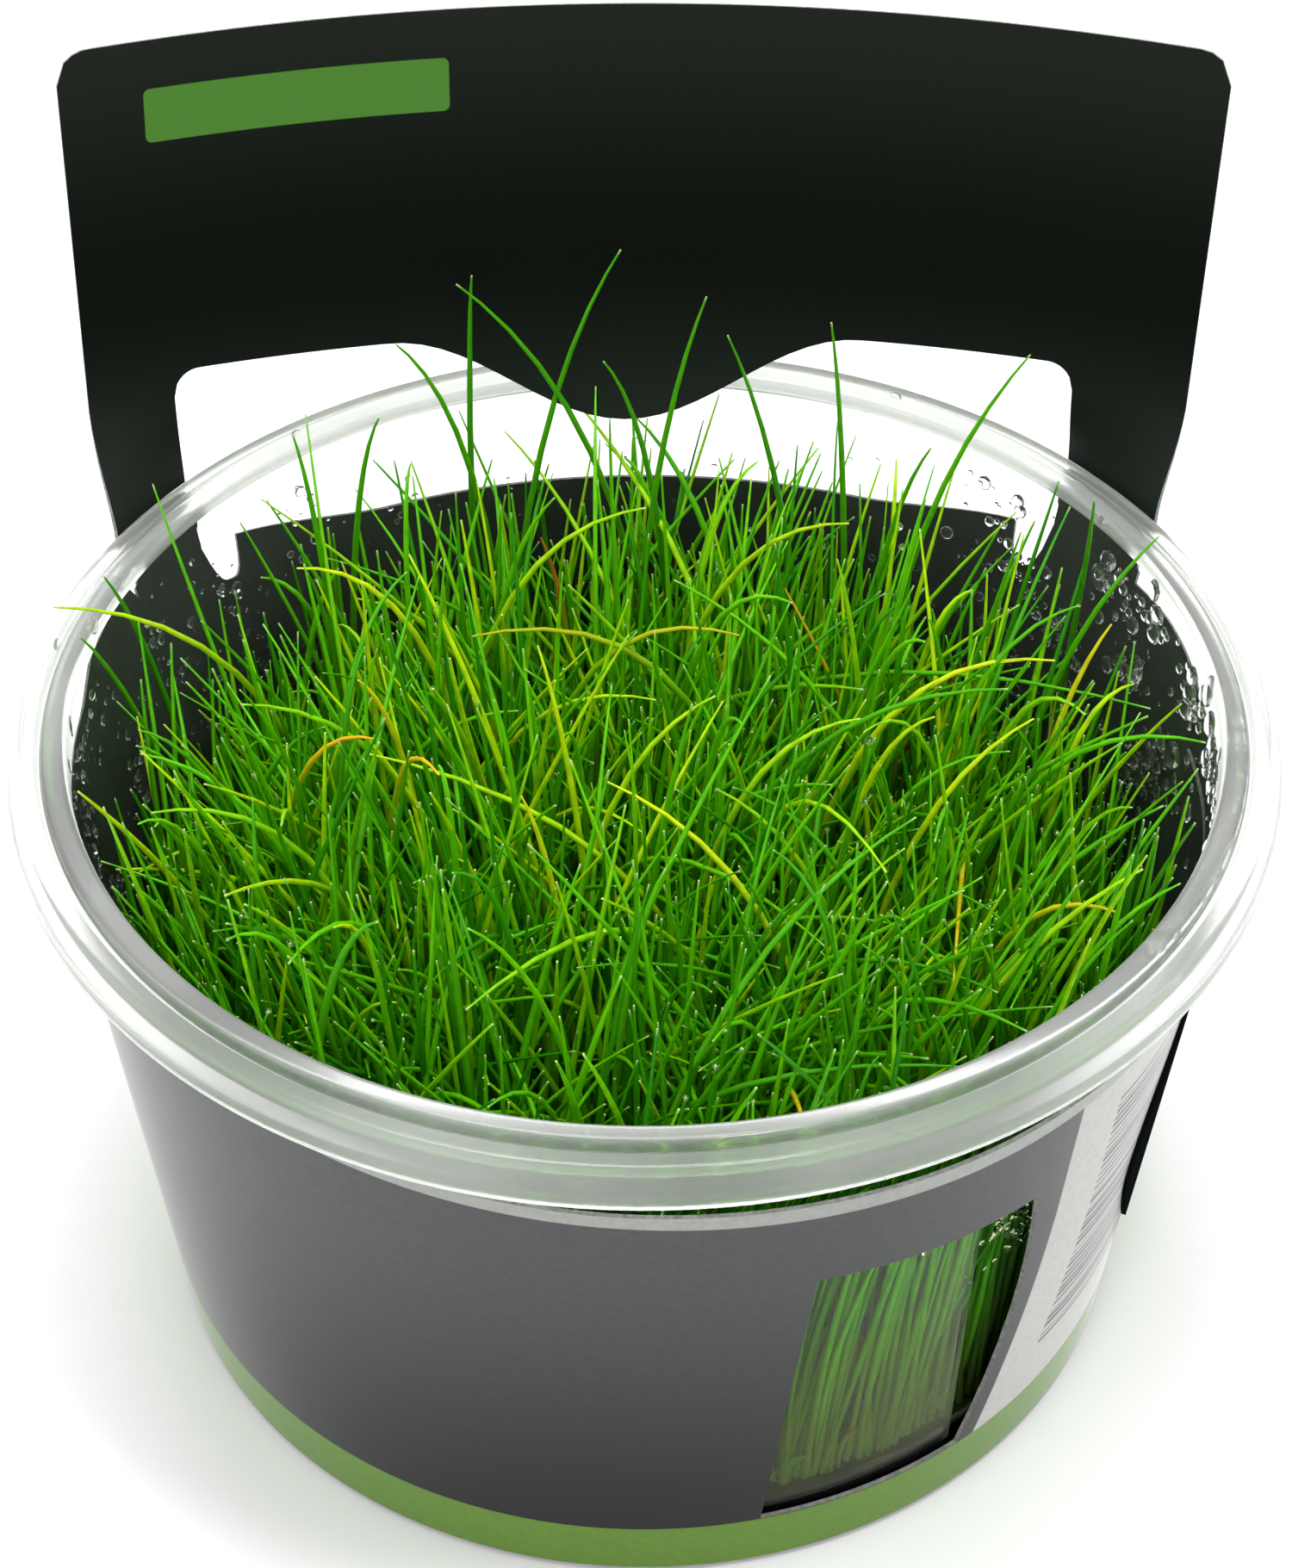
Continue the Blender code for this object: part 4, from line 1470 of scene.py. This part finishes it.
@dataclass
class Grass:
    """The grass: seven tufts on a root mat, each with its own culms, and the beads on their tips."""

    cup: GrowingCup
    sleeve: CardSleeve
    bed_radius: float = 33.9 * MM
    core_share: float = 3 / 7
    foot_height: float = 6.2 * MM
    spread: float = 4.6 * MM
    outward: float = 4.8 * MM
    waves: tuple[tuple[float, ...], ...] = ((0.11, 1.3, 0.17, 0.4), (0.12, -0.7, 0.15, 2.1))
    cross_wave: float = 0.6
    open_rim: Pair = (0.62, 0.97)
    open_turn: Pair = (-0.5, 0.3)
    shy: float = 0.23
    shy_splay: float = 0.45
    shy_outward: float = 0.9
    clump_pull: float = 0.5 * MM
    clump_size: float = 1.1 * MM
    clump_shift: float = 0.9
    stiff: tuple[Pair, Pair, float] = ((0.46, 0.62), (0.12, 0.46), 1.0)
    arched: tuple[Pair, Pair, float] = ((0.75, 1.05), (0.0, 0.2), 1.3)
    sway: float = 0.03
    bright_share: float = 0.11
    full_height: float = 36.5 * MM
    girth: float = 0.262 * MM
    girth_spread: float = 0.14
    girth_least: float = 0.6
    tone_mean: float = 0.44
    tone_spread: float = 0.22
    tone_bright: float = 0.8
    front_shade: float = 0.3
    front_fade: Pair = (8.0 * MM, 30.0 * MM)
    tip_room: float = 0.7 * MM
    tip_least: float = 0.3
    under_panel: float = 3 * MM
    wall_gap: float = 0.35 * MM
    wall_soft: float = 1.2 * MM
    over_height: float = 0.9 * MM
    over_slope: float = 6.0
    panel_gap: float = 0.7 * MM
    panel_low: float = 1.2 * MM
    panel_free: float = 40.0
    culm_points: int = 12
    sides: int = 5
    rise_power: float = 1.2
    taper_power: float = 4.0
    tip_share: float = 0.25
    bead_size: Pair = (0.13 * MM, 0.32 * MM)
    bead_rare: float = 3.0
    bead_seed: int = 5
    seed: int = 11

    def lean(self, x: float, y: float) -> Vector:
        """Mean lean of the culms at a place: in slow waves, and outward near the wall.

        Args:
            x: Place to the right, in metres.
            y: Place to the back, in metres.

        Returns:
            The lean in metres.
        """
        waves = Vector([self.wave(*pair, *wave) for pair, wave in zip(((x, y), (y, x)), self.waves)])
        outward = self.outward * (1.0 - self.shy_outward * self.open_side(x, y))
        return waves * 0.5 * self.spread + Vector((x, y)) * (outward / self.bed_radius)

    def wave(self, along: float, across: float, rate: float, phase: float, cross: float,
             cross_phase: float) -> float:
        """A slow wave along one axis, with a weaker one across it."""
        weaker = self.cross_wave * math.sin(cross * across / MM + cross_phase)
        return math.sin(rate * along / MM + phase) + weaker

    def open_side(self, x: float, y: float) -> float:
        """1 near the wall at the sides and the back, where the turf keeps low, and 0 elsewhere.

        Args:
            x: Place to the right, in metres.
            y: Place to the back, in metres.

        Returns:
            The share.
        """
        radius = math.hypot(x, y)
        near = float(ease(*self.open_rim, radius / self.bed_radius))
        return near * float(ease(*self.open_turn, y / max(radius, MM)))

    def tuft_of(self, x: float, y: float) -> str:
        """Name of the CAD tuft that a foot stands in.

        Args:
            x: Place to the right, in metres.
            y: Place to the back, in metres.

        Returns:
            The CAD node's name.
        """
        if math.hypot(x, y) < self.bed_radius * self.core_share:
            return "tuft_middle"
        turn = (math.degrees(math.atan2(x, y)) - 30.0) % 360.0
        return f"tuft_{int(turn // 60.0) + 1}"

    def foot(self, habit: Habit, draws: np.random.RandomState) -> Pair:
        """Place of a foot on the bed, gathered in loose clumps away from the wall.

        Args:
            habit: How the kind grows.
            draws: The seeded source of its own differences.

        Returns:
            Its place to the right and to the back, in metres.
        """
        radius = self.bed_radius * math.sqrt(draws.uniform(habit.nearest ** 2, 1.0))
        turn = draws.uniform(0.0, math.tau)
        x, y = radius * math.sin(turn), radius * math.cos(turn)
        if habit.nearest:
            return x, y
        x += self.clump_pull * math.sin(x / self.clump_size)
        y += self.clump_pull * math.sin(y / self.clump_size + self.clump_shift)
        limit = self.bed_radius / max(math.hypot(x, y), self.bed_radius)
        return x * limit, y * limit

    def guide(self, habit: Habit, draws: np.random.RandomState) -> Guide:
        """One culm of a kind.

        Args:
            habit: How the kind grows.
            draws: The seeded source of its own differences.

        Returns:
            Its guide.
        """
        x, y = self.foot(habit, draws)
        low, high = habit.height
        middle, half = (low + high) / 2 * MM, (high - low) / 2 * MM
        tall = float(np.clip(draws.normal(middle, half * 0.5), low * MM, high * MM))
        low_side = self.open_side(x, y)
        tall *= 1.0 - self.shy * low_side
        turn = draws.uniform(0.0, math.tau)
        wide = abs(draws.normal(0.0, 1.0)) * habit.splay * MM * (1.0 - self.shy_splay * low_side)
        reach = self.lean(x, y) * (tall / self.full_height)
        reach += Vector((math.cos(turn), math.sin(turn))) * wide
        arching = draws.uniform() < habit.arching
        rises, bends, stretch = self.arched if arching else self.stiff
        rise = draws.uniform(*rises)
        tip = Vector((x, y)) + reach * stretch
        room = float(self.cup.inner(self.foot_height + tall)) - self.tip_room
        if tip.length > room:
            tip *= max(2.0 * room / tip.length - 1.0, self.tip_least)
        reach = tip - Vector((x, y))
        if y + reach.y > self.sleeve.panel_seat - self.under_panel:
            tall = min(tall, self.cup.rim_height - self.foot_height - 1.0 * MM)
        sway = draws.normal(0.0, self.sway, 2) * tall
        early = draws.uniform(*bends)
        bend = (reach.x * early + sway[0], reach.y * early + sway[1], tall * rise)
        bright = draws.uniform() < self.bright_share
        if bright:
            tone = draws.uniform(self.tone_bright, 1.0)
        else:
            tone = float(np.clip(draws.normal(self.tone_mean, self.tone_spread), 0.0, self.tone_bright))
        # painted shade: culms deep in the turf or against the wall, and those towards the front, get a lower
        # tone
        tone *= habit.tone_in_shade * (1.0 - self.front_shade * float(ease(*self.front_fade, -y)))
        dry = float(draws.uniform() < habit.dry) * draws.uniform(0.5, 1.0)
        wet = float(draws.uniform() < habit.wet)
        girth = draws.normal(self.girth, self.girth * self.girth_spread)
        girth = max(girth, self.girth * self.girth_least) * habit.slim
        return Guide((x, y, self.foot_height), bend, (reach.x, reach.y, tall), girth, tone, dry, wet)

    def guides(self) -> dict[str, list[Guide]]:
        """Every culm's guide, by the tuft that it stands in.

        Returns:
            Lists of guides by the tuft's name.
        """
        draws = np.random.RandomState(self.seed)
        grown = [self.guide(habit, draws) for habit in HABITS.values() for _ in range(habit.count)]
        grown += [culm.guide(self.bed_radius, self.foot_height) for culm in STANDOUTS]
        found: dict[str, list[Guide]] = {}
        for guide in grown:
            found.setdefault(self.tuft_of(*guide.foot[:2]), []).append(guide)
        return found

    def guide_points(self, name: str, guides: list[Guide]) -> Piece:
        """One vertex for each culm, which carries its guide as attributes.

        Args:
            name: The object's name.
            guides: The guides of its culms.

        Returns:
            The object that carries them.
        """
        made = add_mesh(name, [guide.foot for guide in guides], [], [])
        for key in ("bend", "reach"):
            layer = made.data.attributes.new(key, "FLOAT_VECTOR", "POINT")
            layer.data.foreach_set("vector", [part for guide in guides for part in getattr(guide, key)])
        for key in ("girth", "tone", "dry", "wet", "over"):
            layer = made.data.attributes.new(key, "FLOAT", "POINT")
            layer.data.foreach_set("value", [getattr(guide, key) for guide in guides])
        return made

    def culm_place(self, board: Board, share: Socket | float) -> Socket:
        """Place on a culm at a share of its way, kept inside the wall and in front of the panel.

        Args:
            board: A geometry tree whose points carry the guide.
            share: 0 at the foot and 1 at the tip.

        Returns:
            The place.
        """
        foot = board.split(board.add("GeometryNodeInputPosition"))
        bend, reach = [board.split(board.carried(name, "FLOAT_VECTOR")) for name in ("bend", "reach")]
        middle = board.times(share, 2.0, board.rest(share))
        end = board.times(share, share)
        x, y, z = [board.line(far, end, board.line(side, middle, start))
                   for start, side, far in zip(foot, bend, reach)]
        free_wall = board.times(board.carried("over"), self.over_slope)
        above = board.math("MAXIMUM", board.less(z, self.cup.rim_height + self.over_height), 0.0)
        inner = board.line(z, self.cup.taper, self.cup.inner(0.0) - self.wall_gap)
        away = board.math("MAXIMUM", board.length(x, y), 1.0 * MM)
        near = board.math("SMOOTH_MIN", away, board.line(above, free_wall, inner), self.wall_soft)
        keep = board.math("MINIMUM", board.math("DIVIDE", near, away), 1.0)
        x, y = board.times(x, keep), board.times(y, keep)
        seat = self.sleeve.panel_seat - self.panel_gap - self.sleeve.panel_lean * self.cup.rim_height
        front = board.line(z, self.sleeve.panel_lean, seat)
        curve = board.times(x, x, self.sleeve.panel_curve)
        below = board.math("MAXIMUM", board.less(self.cup.rim_height + self.panel_low, z), 0.0)
        front = board.line(below, self.panel_free, board.less(front, curve))
        return board.join(x, board.math("MINIMUM", y, front), z)

    def culm_tree(self) -> Tree:
        """The tree that grows a tapered culm from each guide point.

        Returns:
            The geometry tree.
        """
        board, given, result = start_tree("grow_culms", {
            "Points": "Int", "Sides": "Int", "Tip share": "Float", "Finish": "Material"})
        points = board.add("GeometryNodeMeshToPoints", {0: given})
        marked = board.store(points, "culm", board.add("GeometryNodeInputIndex"), "INT")
        copies = board.add("GeometryNodeDuplicateElements", {0: marked, "Amount": given.outputs["Points"]},
                           domain="POINT")
        even = board.math("DIVIDE", copies.outputs[1], board.less(given.outputs["Points"], 1.0))
        share = board.rest(board.math("POWER", board.rest(even), self.rise_power))
        rising = board.store(copies, "rise", share)
        rise = board.carried("rise")
        placed = board.add("GeometryNodeSetPosition", {0: rising, "Position": self.culm_place(board, rise)})
        culm = board.carried("culm", "INT")
        lines = board.add("GeometryNodePointsToCurves", {0: placed, 1: culm, 2: rise})
        late = board.math("POWER", rise, self.taper_power)
        taper = board.times(late, board.rest(given.outputs["Tip share"]))
        thick = board.times(board.carried("girth"), board.rest(taper))
        ring = board.add("GeometryNodeCurvePrimitiveCircle", {0: given.outputs["Sides"], 4: 1.0})
        skin = board.add("GeometryNodeCurveToMesh", {0: lines, 1: ring, 2: thick, 3: True})
        finish_tree(board, skin, given, result)
        return board.tree

    def bead_tree(self) -> Tree:
        """The tree that hangs a small bead of water at the tip of each wet culm.

        Returns:
            The geometry tree.
        """
        board, given, result = start_tree("hang_beads", {
            "Smallest": "Float", "Largest": "Float", "Seed": "Int", "Finish": "Material"})
        points = board.add("GeometryNodeMeshToPoints", {0: given})
        damp = board.math("GREATER_THAN", board.carried("wet"), 0.5)
        wet = board.add("GeometryNodeSeparateGeometry", {0: points, 1: damp}, domain="POINT")
        placed = board.add("GeometryNodeSetPosition", {0: wet, "Position": self.culm_place(board, 1.0)})
        drop = board.add("GeometryNodeMeshUVSphere", DROP_SHAPE)
        size = random_size(board, given, self.bead_rare)
        beads = board.add("GeometryNodeInstanceOnPoints", {0: placed, 2: drop, 6: size})
        finish_tree(board, beads, given, result)
        return board.tree

    def build(self) -> list[Piece]:
        """Grow the culms of every tuft, then hang the beads.

        Returns:
            The seven tufts and the beads.
        """
        growing, hanging = self.culm_tree(), self.bead_tree()
        made = []
        everything: list[Guide] = []
        for name, guides in sorted(self.guides().items()):
            points = self.guide_points(f"{name}_guide", guides)
            apply_tree(points, growing, {"Points": self.culm_points, "Sides": self.sides,
                                         "Tip share": self.tip_share, "Finish": CulmSkin().material()})
            made.append(settle(freeze(points, f"{name}_culms"), Slot.GRASS, name))
            everything += guides
        points = self.guide_points("bead_guide", everything)
        smallest, largest = self.bead_size
        apply_tree(points, hanging, {"Smallest": smallest, "Largest": largest, "Seed": self.bead_seed,
                                     "Finish": WaterBead().material()})
        made.append(settle(freeze(points, "tip_beads"), Slot.GRASS))
        return made


@dataclass
class RootBed:
    """The lumpy mat of roots and old culm feet on the gel."""

    cup: GrowingCup
    low: float = 5.95 * MM
    high: float = 7.0 * MM
    lump: float = 0.7 * MM
    coarse: float = 420.0
    fine: float = 1100.0
    fine_share: float = 0.5
    gap: float = 2.1 * MM
    rings: int = 40
    steps: int = 150

    def build(self) -> Piece:
        """Make a closed disc with an uneven top.

        Returns:
            The mat.
        """
        edge = self.cup.inner(self.low) - self.gap
        points = [(0.0, 0.0, self.high)]
        for ring in range(1, self.rings + 1):
            radius = edge * ring / self.rings
            for step in range(self.steps):
                turn = math.tau * step / self.steps
                x, y = radius * math.cos(turn), radius * math.sin(turn)
                rough = noise.noise(Vector((x, y, 0.0)) * self.coarse)
                rough += self.fine_share * noise.noise(Vector((x, y, 0.1)) * self.fine)
                points.append((x, y, self.high + self.lump * rough))
        first = 1 + (self.rings - 1) * self.steps
        points += [(x, y, self.low) for x, y, _ in points[first:]]
        points.append((0.0, 0.0, self.low))
        faces: list[tuple[int, ...]] = [(0, 1 + i, 1 + (i + 1) % self.steps) for i in range(self.steps)]
        for ring in range(self.rings):
            here, there = 1 + ring * self.steps, 1 + (ring + 1) * self.steps
            for i in range(self.steps):
                j = (i + 1) % self.steps
                faces.append((here + i, there + i, there + j, here + j))
        last = len(points) - 1
        rim = 1 + self.rings * self.steps
        faces += [(last, rim + (i + 1) % self.steps, rim + i) for i in range(self.steps)]
        piece = add_mesh("root_mat", points, faces, [RootMat()])
        return settle(crease(piece, 60.0), Slot.GRASS)


@dataclass(frozen=True)
class Mist:
    """A stretch of drops on the wall: degrees from the back, millimetres up, drops per square metre."""

    start: float
    stop: float
    low: float
    high: float
    density: float
    smallest: float
    largest: float
    rare: float
    seed: int


MISTS = (
    Mist(30.0, 126.0, 18.0, 46.5, 1.7e6, 0.14, 0.62, 2.6, 3),
    Mist(54.0, 114.0, 32.0, 46.5, 8.0e5, 0.35, 1.20, 2.0, 7),
    Mist(-124.0, -40.0, 22.0, 46.0, 1.2e6, 0.12, 0.52, 3.0, 9),
    Mist(136.0, 144.5, 24.0, 34.0, 3.0e6, 0.18, 0.5, 2.0, 4),
    Mist(-40.0, 30.0, 34.0, 45.0, 4.0e5, 0.10, 0.35, 5.0, 6),
)


@dataclass
class Condensation:
    """Drops and runs of water on the inside of the wall and on the rim."""

    cup: GrowingCup
    gap: float = 0.03 * MM
    columns: int = 60
    rows: int = 14
    segments: tuple[int, int] = (14, 9)
    flatness: float = 0.5
    crowd_scale: float = 170.0
    crowd: Pair = (0.42, 0.66)
    singles: tuple[tuple[float, float, float, float, float], ...] = (
        (-78.0, 39.6, 49.25, 0.75, 0.65), (-81.5, 41.4, 49.25, 0.45, 0.4), (-71.0, 39.5, 49.25, 0.5, 0.45),
        (-91.5, 39.3, 47.8, 0.6, 0.8), (-97.5, 39.2, 47.8, 0.45, 0.6), (86.0, 39.2, 47.8, 0.85, 1.3),
        (84.2, 39.1, 46.6, 0.5, 0.7), (69.0, 39.2, 47.8, 0.7, 0.9), (58.0, 39.4, 48.9, 0.4, 0.4),
        (96.0, 39.2, 47.8, 0.5, 0.7), (28.0, 40.9, 49.25, 0.45, 0.4), (-40.0, 40.8, 49.25, 0.4, 0.35),
        (151.4, 37.75, 31.2, 0.4, 0.9), (161.2, 37.75, 32.0, 0.35, 0.5))

    def patch(self, name: str, mist: Mist) -> Piece:
        """The stretch of wall that carries the drops, facing the axis.

        Args:
            name: The object's name.
            mist: The stretch.

        Returns:
            The patch.
        """
        angles = spaced(mist.start, mist.stop, self.columns)
        points = [around(self.cup.inner(height * MM) - self.gap, angle, height * MM)
                  for height in spaced(mist.low, mist.high, self.rows) for angle in angles]
        size = self.columns + 1
        faces = [(r * size + c, r * size + c + 1, (r + 1) * size + c + 1, (r + 1) * size + c)
                 for r in range(self.rows) for c in range(self.columns)]
        return add_mesh(name, points, faces, [])

    def drop_tree(self) -> Tree:
        """The tree that sets flat drops on a patch, thicker in some places than in others.

        Returns:
            The geometry tree.
        """
        board, given, result = start_tree("settle_drops", {
            "Density": "Float", "Smallest": "Float", "Largest": "Float",
            "Rare": "Float", "Seed": "Int", "Finish": "Material"})
        place = board.add("GeometryNodeInputPosition")
        crowd = board.ease(board.noise(self.crowd_scale, 2.0, place), *self.crowd)
        density = board.times(crowd, given.outputs["Density"])
        inputs = {0: given, 4: density, 6: given.outputs["Seed"]}
        spots = board.add("GeometryNodeDistributePointsOnFaces", inputs, distribute_method="RANDOM")
        size = random_size(board, given, given.outputs["Rare"])
        flat = board.join(size, size, board.times(size, self.flatness))
        drop = board.add("GeometryNodeMeshUVSphere", DROP_SHAPE)
        drops = board.add("GeometryNodeInstanceOnPoints", {0: spots, 2: drop, 5: spots.outputs[2], 6: flat})
        finish_tree(board, drops, given, result)
        return board.tree

    def single_drops(self) -> Piece:
        """The single drops: degrees from the back, radius, height, half width and half length.

        Returns:
            The drops as one piece.
        """
        work = bmesh.new()
        for angle, radius, height, wide, tall in self.singles:
            place = Matrix.Translation(around(radius * MM, angle, height * MM))
            turn = Matrix.Rotation(-math.radians(angle), 4, "Z")
            lean = turn @ Matrix.Rotation(-math.atan(self.cup.taper), 4, "X")
            form = Matrix.Diagonal((wide * MM, min(wide, tall) * self.flatness * MM, tall * MM, 1.0))
            bmesh.ops.create_uvsphere(work, u_segments=self.segments[0], v_segments=self.segments[1],
                                      radius=1.0, matrix=place @ lean @ form)
        mesh = bpy.data.meshes.new("single_drops")
        work.to_mesh(mesh)
        work.free()
        mesh.materials.append(WaterBead().material())
        mesh.shade_smooth()
        return link("single_drops", mesh)

    def build(self) -> None:
        """Settle the single drops, then those of every stretch."""
        settle(self.single_drops(), Slot.CLEAR)
        tree = self.drop_tree()
        for index, mist in enumerate(MISTS, 1):
            patch = self.patch(f"mist_patch_{index}", mist)
            apply_tree(patch, tree, {"Density": mist.density, "Smallest": mist.smallest * MM,
                                     "Largest": mist.largest * MM, "Rare": mist.rare, "Seed": mist.seed,
                                     "Finish": WaterBead().material()})
            settle(freeze(patch, f"wall_drops_{index}"), Slot.CLEAR)


def start_tree(name: str, inputs: dict[str, str]) -> tuple[Board, Node, Node]:
    """A geometry tree with named inputs.

    Args:
        name: The tree's name.
        inputs: Kind of socket by the input's name.

    Returns:
        Its board, its group input and its group output.
    """
    tree = bpy.data.node_groups.new(name, "GeometryNodeTree")
    tree.interface.new_socket("Geometry", in_out="INPUT", socket_type="NodeSocketGeometry")
    for key, kind in inputs.items():
        tree.interface.new_socket(key, in_out="INPUT", socket_type=f"NodeSocket{kind}")
    tree.interface.new_socket("Geometry", in_out="OUTPUT", socket_type="NodeSocketGeometry")
    board = Board(tree)
    return board, board.add("NodeGroupInput"), board.add("NodeGroupOutput")


def finish_tree(board: Board, shape: Node, given: Node, result: Node) -> None:
    """End a tree: make its instances real, smooth them and set its finish.

    Args:
        board: The node tree to add to.
        shape: The node that gives the shape.
        given: The tree's group input.
        result: The tree's group output.
    """
    real = board.add("GeometryNodeRealizeInstances", {0: shape})
    smooth = board.add("GeometryNodeSetShadeSmooth", {0: real, 2: True})
    dressed = board.add("GeometryNodeSetMaterial", {0: smooth, 2: given.outputs["Finish"]})
    board.feed(result.inputs[0], dressed)


def random_size(board: Board, given: Node, rare: object) -> Socket:
    """A random size between the tree's Smallest and Largest, where large ones are rarer by a power.

    Args:
        board: The node tree to add to.
        given: The tree's group input.
        rare: The power.

    Returns:
        The size.
    """
    draw = board.add("FunctionNodeRandomValue", {8: given.outputs["Seed"]}, data_type="FLOAT")
    few = board.math("POWER", draw.outputs[1], rare)
    wide = board.less(given.outputs["Largest"], given.outputs["Smallest"])
    return board.line(few, wide, given.outputs["Smallest"])


def apply_tree(target: Piece, tree: Tree, values: dict[str, object]) -> None:
    """Put a geometry tree on an object and set its named inputs.

    Args:
        target: The object.
        tree: The geometry tree.
        values: Values by the input's name.
    """
    modifier = target.modifiers.new(tree.name, "NODES")
    modifier.node_group = tree
    for item in tree.interface.items_tree:
        if item.in_out == "INPUT" and item.name in values:
            modifier[item.identifier] = values[item.name]


@dataclass
class Studio:
    """Camera, lights and floor. The camera stands where the photograph was taken from."""

    distance: float = 235.5 * MM
    elevation: float = 40.0
    aim_height: float = 49.0 * MM
    lens: float = 96.0
    film_width: float = 36.0
    image_width: int = 1500
    centre_right: float = -1.8
    centre_up: float = 93.5
    clip: Pair = (0.01, 20.0)
    sky: float = 1.05
    floor_half: float = 3.0
    lamps: tuple[tuple[str, Triple, Pair, float], ...] = (
        ("top_box", (-0.04, 0.14, 0.75), (0.3, 0.3), 2.6), ("spark", (0.1, -0.12, 0.6), (0.06, 0.06), 0.7),
        ("left_box", (-0.7, -0.35, 0.45), (0.4, 0.5), 1.0),
        ("right_box", (0.7, -0.15, 0.4), (0.3, 0.5), 0.7))

    def camera(self) -> None:
        """Add the camera and make it the scene's."""
        data = bpy.data.cameras.new("photo_camera")
        data.sensor_fit = "HORIZONTAL"
        data.sensor_width = self.film_width
        data.lens = self.lens
        data.clip_start, data.clip_end = self.clip
        data.shift_x = -self.centre_right / self.image_width
        data.shift_y = -self.centre_up / self.image_width
        made = link("photo_camera", data)
        turn = math.radians(self.elevation)
        back = Vector((0.0, -math.cos(turn), math.sin(turn))) * self.distance
        made.location = back + Vector((0.0, 0.0, self.aim_height))
        made.rotation_euler = (math.pi / 2 - turn, 0.0, 0.0)
        bpy.context.scene.camera = made

    def lamp(self, name: str, place: Triple, size: Pair, power: float) -> None:
        """Add a soft box that faces the grass.

        Args:
            name: The lamp's name.
            place: Where it stands, in metres.
            size: Its width and height, in metres.
            power: Its power, in watts.
        """
        data = bpy.data.lights.new(name, "AREA")
        data.shape = "RECTANGLE"
        data.size, data.size_y = size
        data.energy = power
        made = link(name, data)
        made.location = place
        aim = Vector((0.0, 0.0, self.aim_height)) - Vector(place)
        made.rotation_euler = aim.to_track_quat("-Z", "Y").to_euler()

    def build(self) -> None:
        """Set up the studio."""
        self.camera()
        for lamp in self.lamps:
            self.lamp(*lamp)
        world = bpy.data.worlds.new("studio")
        world.use_nodes = True
        background = world.node_tree.nodes["Background"]
        background.inputs["Color"].default_value = (1.0, 1.0, 1.0, 1.0)
        background.inputs["Strength"].default_value = self.sky
        bpy.context.scene.world = world
        bpy.context.scene.view_settings.view_transform = "Standard"
        half = self.floor_half
        corners = [(-half, -half, 0), (half, -half, 0), (half, half, 0), (-half, half, 0)]
        add_mesh("studio_floor", corners, [(0, 1, 2, 3)], [PaleFloor()])


def main() -> None:
    """Load the frame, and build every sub-assembly in order."""
    logging.basicConfig(level=logging.INFO, format="%(message)s")
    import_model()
    Studio().build()
    cup = GrowingCup()
    cup.build()
    GrowingGel(cup).build()
    sleeve = CardSleeve(cup)
    sleeve.build()
    Grass(cup, sleeve).build()
    RootBed(cup).build()
    Condensation(cup).build()


if __name__ == "__main__":
    main()
